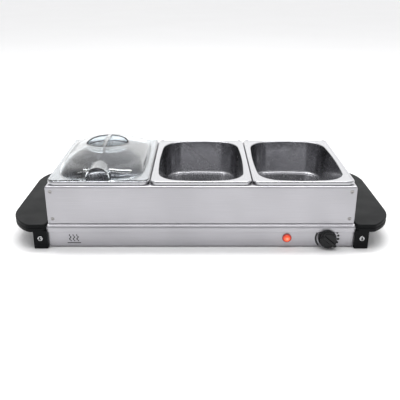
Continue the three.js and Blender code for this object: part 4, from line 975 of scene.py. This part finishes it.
# ---------------------------------------------------------------- pieces: controls
def knob_shape():
    """The thermostat knob, a grid in radius and angle about Y.

    Its skirt is a circle plus a nib towards the pointer; its face rises by a smooth step into the grip
    bar, which lies along the pointer.
    """
    low, high = span("control_knob")
    axis = place_of("thermostat_spindle")
    x, z = axis[0], axis[2]
    back, front = high[1], low[1]
    face = front + 2.6 * MM
    pointer = math.radians(-40)
    around = 160
    angle = np.linspace(0, 2 * math.pi, around, endpoint=False)
    off = (angle - pointer + math.pi) % (2 * math.pi) - math.pi
    nib = 3.5 * MM * np.exp(-((off / 0.2) ** 2))
    outer = [(0.0, back - 2 * MM), (9 * MM, back - 2 * MM), (9.2 * MM, back), (14.4 * MM, back)]
    skirt = [(15 * MM, back - 0.6 * MM), (15 * MM, back - 2.2 * MM), (14.7 * MM, back - 2.9 * MM)]
    wall = [(14.0 * MM, back - 3.4 * MM), (13.7 * MM, face + 2.4 * MM), (13.3 * MM, face + 1.2 * MM)]
    crown = [(12.6 * MM, face + 0.4 * MM), (11.7 * MM, face + 0.05 * MM)]
    inner = [(r * MM, face) for r in np.linspace(11, 0, 26)]
    rows = []
    for r, y in outer + skirt + wall + crown + inner:
        share = float(smooth((r - 12 * MM) / (2 * MM)))
        radial = r + nib * share
        along = radial * np.cos(off)
        across = radial * np.sin(off)
        bar = smooth((3.4 * MM - np.abs(across)) / (1.3 * MM)) * smooth((along + 13 * MM) / (2 * MM))
        lift = (face - front) * bar * float(smooth((back - 3.0 * MM - y) / (3 * MM)))
        fluted = float(smooth((r - 12.9 * MM) / (0.5 * MM))) * (y < back - 3.2 * MM)
        flute = 0.25 * MM * np.cos(angle * 20) * fluted
        radial = radial + flute
        rows.append(np.stack([x + radial * np.cos(angle), y - lift, z + radial * np.sin(angle)], -1))
    return closed_skin(np.stack(rows))


def dial_marks():
    """The dial's print: a plain arc on the left and dots that grow clockwise on the right, as thin discs."""
    axis = place_of("thermostat_spindle")
    x, z, y = axis[0], axis[2], span("base_housing")[0][1]
    thick, ring = 0.06 * MM, 18.6 * MM
    angle = np.radians(np.linspace(152, 224, 40))
    width = 1.6 * MM
    outline = np.concatenate(
        [
            np.stack([(ring + width) * np.cos(angle), (ring + width) * np.sin(angle)], -1),
            np.stack([(ring - width) * np.cos(angle[::-1]), (ring - width) * np.sin(angle[::-1])], -1),
        ]
    )
    shapes = [flat_print(outline, x, z, y, thick)]
    for place, size in ((29, 1.8), (12, 2.1), (-7, 2.3), (-26, 2.5)):
        turn = math.radians(place)
        circle = arc((ring * math.cos(turn), ring * math.sin(turn)), size * MM, 0, 345, 23)
        shapes.append(flat_print(circle, x, z, y, thick))
    for place in (228, -48):
        turn = math.radians(place)
        tick = np.array([[17.4, -0.4], [20.6, -0.4], [20.6, 0.4], [17.4, 0.4]]) * MM
        spin = np.array([[math.cos(turn), math.sin(turn)], [-math.sin(turn), math.cos(turn)]])
        shapes.append(flat_print(tick @ spin, x, z, y, thick))
    return together(*shapes)


def flat_print(outline, x, z, y, thick):
    """A thin printed patch on a wall facing -Y, from its outline in (x, z)."""
    rings = []
    for depth in (0.02 * MM, -thick):
        rings.append(np.stack([outline[:, 0] + x, np.full(len(outline), y + depth), outline[:, 1] + z], -1))
    return closed_skin(np.stack(rings))


def heat_mark(x, z):
    """A plain heat mark: three rising waves over a bar, each wave a sine carried up as a ribbon."""
    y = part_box("base_housing")[0][1]
    shapes = []
    rise = np.linspace(-4.6, 5.2, 25)
    for offset in (-4.6, 0, 4.6):
        sway = offset + 0.95 * np.sin(rise * 1.15)
        taper = 0.8 - 0.06 * np.abs(rise)
        right_edge, left_edge = (np.stack([sway + reach, rise], -1) for reach in (taper, -taper))
        outline = np.concatenate([right_edge, left_edge[::-1]])
        shapes.append(flat_print(outline * 1.3 * MM, x, z, y, 0.06 * MM))
    bar = np.array([[-8.5, -7.2], [8.5, -7.2], [8.5, -6.1], [-8.5, -6.1]]) * 1.3 * MM
    shapes.append(flat_print(bar, x, z, y, 0.06 * MM))
    return together(*shapes)


def lens_shape():
    """The pilot lamp's lens: a flange and a low dome turned about Y, ending in its barrel."""
    low, high = span("indicator_lens")
    middle = (low + high) / 2
    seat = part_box("base_housing")[0][1] - 0.3 * MM
    profile = [(0, high[1]), (5.4 * MM, high[1]), (5.4 * MM, seat), (7.4 * MM, seat)]
    profile += [(7.7 * MM, seat - 0.3 * MM), (7.7 * MM, seat - 1.1 * MM)]
    profile += [(7.5 * MM, seat - 1.5 * MM), (7.0 * MM, seat - 1.7 * MM)]
    profile += [(6.3 * MM, seat - 1.7 * MM)]
    height = seat - 1.7 * MM - low[1]
    for angle in np.linspace(0, math.pi / 2, 12):
        profile.append((6.1 * MM * math.cos(angle), seat - 1.7 * MM - height * math.sin(angle)))
    return turned(profile, middle[0], middle[2], 64)


# ---------------------------------------------------------------- operators
class SERVER_OT_stage(bpy.types.Operator):
    """Makes the pale floor, the soft studio light and the camera"""

    bl_idname = "server.stage"
    bl_label = "Stage"

    def execute(self, context):
        floor = new_object("studio_floor", closed_skin(rounded_rings([(9, 9, 1, -0.02), (9, 9, 1, 0.0)], 8)))
        material, tree, shader = start("studio_floor", Roughness=0.55, Specular_IOR_Level=0.25)
        place = add(tree, "ShaderNodeTexCoord").outputs["Object"]
        cloud = add(tree, "ShaderNodeTexNoise", {"Vector": place, "Scale": 2.0})
        shades = {"Factor": cloud.outputs[0], 6: linear("#FAFAFA"), 7: linear("#FFFFFF")}
        tint = add(tree, "ShaderNodeMix", shades, data_type="RGBA")
        wire(tree, shader, Base_Color=tint.outputs[2])
        floor.data.materials.append(material)
        make_world(context.scene)
        lights = (
            ("key_softbox", (0, 0.45, 1.9), (0, 0, 0), (1.7, 0.4), 25),
            ("overhead_strip", (0, -0.42, 1.9), (0, 0, 0), (2.4, 0.5), 12),
            ("front_left_softbox", (-1.6, -1.9, 1.2), (0, 0, 0.05), (1.3, 1.3), 2.5),
            ("front_right_softbox", (1.7, -1.7, 1.0), (0, 0, 0.05), (1.1, 1.1), 1.5),
        )
        for name, where, target, size, power in lights:
            make_softbox(name, where, target, size, power)
        make_camera(context.scene)
        return {"FINISHED"}


def make_world(scene):
    """A white studio: dim in front of the object, brighter overhead and brightest behind it."""
    world = bpy.data.worlds.new("studio")
    scene.world = world
    world.use_nodes = True
    tree = world.node_tree
    tree.nodes.clear()
    heading = add(tree, "ShaderNodeTexCoord").outputs["Generated"]
    parts = add(tree, "ShaderNodeSeparateXYZ", {0: heading})
    share = add(tree, "ShaderNodeMapRange", {"Value": parts.outputs["Y"], "From Min": -0.8, "From Max": 0.9})
    ramp = add(tree, "ShaderNodeValToRGB", {0: share.outputs[0]})
    stops = ramp.color_ramp.elements
    stops[0].position, stops[0].color = 0.0, (0.3, 0.3, 0.31, 1)
    stops[1].position, stops[1].color = 1.0, (1.65, 1.65, 1.65, 1)
    middle = stops.new(0.5)
    middle.color = (0.7, 0.7, 0.71, 1)
    light = add(tree, "ShaderNodeBackground", {"Color": ramp.outputs[0], "Strength": 1.0})
    add(tree, "ShaderNodeOutputWorld", {"Surface": light.outputs[0]})
    scene.view_settings.view_transform = "Standard"
    scene.view_settings.look = "None"


def make_softbox(name, where, target, size, power):
    """A rectangular area light, its size as (width, depth), aimed at a target."""
    data = bpy.data.lights.new(name, "AREA")
    data.shape, data.energy = "RECTANGLE", power
    data.size, data.size_y = size
    made = bpy.data.objects.new(name, data)
    made.location = where
    made.rotation_euler = (Vector(target) - Vector(where)).to_track_quat("-Z", "Y").to_euler()
    bpy.context.scene.collection.objects.link(made)


def make_camera(scene):
    """The camera in front of the server, looking down at it."""
    data = bpy.data.cameras.new("camera")
    data.lens, data.sensor_width = 51.83, 36
    data.clip_start, data.clip_end = 0.01, 60
    made = bpy.data.objects.new("camera", data)
    made.location = (-1.7 * MM, -983.9 * MM, 430.2 * MM)
    made.rotation_euler = (math.radians(90 - 22.087), 0, 0)
    scene.collection.objects.link(made)
    scene.camera = made


class SERVER_OT_base(bpy.types.Operator):
    """Makes the warming plate, its studs, the housing and the bottom cover"""

    bl_idname = "server.base"
    bl_label = "Base"

    def execute(self, context):
        steel = brushed_stainless("x")
        plate = new_object("warming_plate_pressed", warming_plate_shape())
        finish_piece(plate, steel, "base", ("warming_plate",), 40)
        studs = new_object("plate_studs", stud_shapes())
        finish_piece(studs, zinc_plated_steel(), "base", (), 50)
        refined("base_housing", steel, "base", 0.15 * MM)
        refined("bottom_cover", zinc_plated_steel(), "base", 0.15 * MM)
        for number in range(1, 5):
            refined(f"cover_screw_{number}", zinc_plated_steel(), "base", 0.2 * MM, 40)
        return {"FINISHED"}


class SERVER_OT_pan_frame(bpy.types.Operator):
    """Makes the four folded sides of the pan frame, its weld marks and its dividers"""

    bl_idname = "server.pan_frame"
    bl_label = "Pan frame"

    def execute(self, context):
        sizes = context.scene.server_sizes
        low, high = span("frame_front", "frame_rear", "frame_end_left", "frame_end_right")
        lip, hem = 9.5 * MM, 8 * MM
        section = fold_section(sizes, low[2], high[2], lip, hem)
        runs = {
            "frame_front": (high[0], high[1], 0, "x"),
            "frame_rear": (high[0], high[1], 2, "x"),
            "frame_end_right": (high[1], high[0], 3, "y"),
            "frame_end_left": (high[1], high[0], 1, "y"),
        }
        for node, (length, outer, turns, grain) in runs.items():
            side = new_object(f"{node}_folded", frame_side(length, outer, section, turns))
            finish_piece(side, brushed_stainless(grain), "pan_frame", (node,), 40)
        welds = new_object("frame_weld_marks", weld_marks(low, high, 8.2 * MM, 9 * MM))
        # The weld marks' darker grey is heat tint together with painted shade of the dimples.
        finish_piece(welds, weld_tint_and_painted_shade(), "pan_frame", (), 60)
        for name in SIDES:
            refined(f"divider_{name}", brushed_stainless("y"), "pan_frame", 0.2 * MM)
        return {"FINISHED"}


class SERVER_OT_pans(bpy.types.Operator):
    """Makes the three drawn pans"""

    bl_idname = "server.pans"
    bl_label = "Pans"

    def execute(self, context):
        for place in PLACES:
            pan = new_object(f"pan_{place}_drawn", pan_shape(f"pan_{place}"))
            finish_piece(pan, drawn_stainless(), f"{place}_pan", (f"pan_{place}",), 45)
        return {"FINISHED"}


class SERVER_OT_lid(bpy.types.Operator):
    """Makes the clear lid"""

    bl_idname = "server.lid"
    bl_label = "Lid"

    def execute(self, context):
        finish_piece(lid_object(), clear_polystyrene(), "lid", ("lid_dome",), 38)
        return {"FINISHED"}


class SERVER_OT_handles(bpy.types.Operator):
    """Makes the two end handles, their feet and their screws"""

    bl_idname = "server.handles"
    bl_label = "Handles"

    def execute(self, context):
        for name, side in SIDES.items():
            body = handle_object(side)
            plastic = moulded_black(0.45, 0.5, 0.07)
            finish_piece(body, plastic, "base", (f"handle_{name}",), 38)
            for face, outward in FACES.items():
                refined(f"rubber_foot_{face}_{name}", foot_rubber(), "base", 0.5 * MM)
                low, high = span(f"handle_screw_{face}_{name}")
                middle = (low + high) / 2
                front, back = (low[1], high[1]) if outward < 0 else (high[1], low[1])
                shape = screw_shape(middle[0], middle[2], front, back, outward)
                screw = new_object(f"handle_screw_{face}_{name}_head", shape)
                nickel = nickel_with_painted_recess_shade(abs(middle[0]), abs(front), middle[2])
                finish_piece(screw, nickel, "base", (f"handle_screw_{face}_{name}",), 50)
        return {"FINISHED"}


class SERVER_OT_controls(bpy.types.Operator):
    """Makes the knob, the pilot lamp, the dial's print and the heat mark"""

    bl_idname = "server.controls"
    bl_label = "Controls"

    def execute(self, context):
        knob = new_object("control_knob_moulded", knob_shape())
        finish_piece(knob, moulded_black(0.3, 0.2, 0.26), "knob", ("control_knob",), 45)
        refined("thermostat_spindle", turned_brass(), "knob", 0.3 * MM)
        lamp = place_of("indicator_lens")
        lens = new_object("indicator_lens_moulded", lens_shape())
        finish_piece(lens, lit_lens(lamp[0], lamp[2]), "base", ("indicator_lens",), 45)
        dial = new_object("dial_print", dial_marks())
        finish_piece(dial, panel_ink(), "base", ())
        mark = new_object("heat_mark_print", heat_mark(-209 * MM, 16.4 * MM))
        finish_piece(mark, panel_ink(), "base", ())
        refined("indicator_body", moulded_black(0.3, 0.45, 0.25), "base", 0.2 * MM)
        refined("indicator_clip", zinc_plated_steel(), "base", 0.15 * MM)
        return {"FINISHED"}


class SERVER_OT_heating(bpy.types.Operator):
    """Makes the heaters, blanket, clamp plate, nuts, thermostat, fuse, terminal block and gland"""

    bl_idname = "server.heating"
    bl_label = "Heating and wiring"

    def execute(self, context):
        for place in PLACES:
            refined(f"mica_heater_{place}", mica_board(), "base", 0.2 * MM)
        refined("insulation_blanket", fibre_blanket(), "base", 0.6 * MM)
        refined("heater_clamp_plate", zinc_plated_steel(), "base", 0.2 * MM)
        for face in FACES:
            for side in SIDES:
                refined(f"clamp_nut_{face}_{side}", zinc_plated_steel(), "base", 0.3 * MM)
        refined("thermostat_body", steatite(), "base", 0.5 * MM)
        refined("thermostat_nut", turned_brass(), "base", 0.25 * MM)
        refined("terminal_block", steatite(), "base", 0.4 * MM)
        refined("thermal_fuse", turned_brass(), "base", 0.4 * MM)
        refined("earth_screw", turned_brass(), "base", 0.3 * MM)
        refined("cord_gland", moulded_black(0.3, 0.45, 0.25), "base", 0.25 * MM)
        refined("gland_nut", moulded_black(0.3, 0.45, 0.25), "base", 0.3 * MM)
        leads = ("supply", "switched", "fused", "link_left_middle", "link_middle_right", "return")
        for name in leads:
            lead = refined(f"lead_{name}", silicone_sleeve(), "base")
            rounder = lead.modifiers.new("rounder", "SUBSURF")
            rounder.levels = rounder.render_levels = 2
        return {"FINISHED"}


class SERVER_PT_panel(bpy.types.Panel):
    """Lists the server's operators"""

    bl_label = "Buffet Server"
    bl_idname = "SERVER_PT_panel"
    bl_space_type = "VIEW_3D"
    bl_region_type = "UI"
    bl_category = "Buffet Server"

    def draw(self, context):
        for step in STEPS:
            self.layout.operator(step.bl_idname)


STEPS = (
    SERVER_OT_stage,
    SERVER_OT_base,
    SERVER_OT_pan_frame,
    SERVER_OT_pans,
    SERVER_OT_lid,
    SERVER_OT_handles,
    SERVER_OT_controls,
    SERVER_OT_heating,
)
CLASSES = (ServerSizes, ServerColours, *STEPS, SERVER_PT_panel)


def register():
    for item in CLASSES:
        bpy.utils.register_class(item)
    bpy.types.Scene.server_sizes = bpy.props.PointerProperty(type=ServerSizes)
    bpy.types.Scene.server_colours = bpy.props.PointerProperty(type=ServerColours)


def unregister():
    del bpy.types.Scene.server_colours
    del bpy.types.Scene.server_sizes
    for item in reversed(CLASSES):
        bpy.utils.unregister_class(item)


def main():
    """Builds everything in order."""
    register()
    for step in STEPS:
        group, name = step.bl_idname.split(".")
        getattr(getattr(bpy.ops, group), name)()


if __name__ == "__main__":
    main()
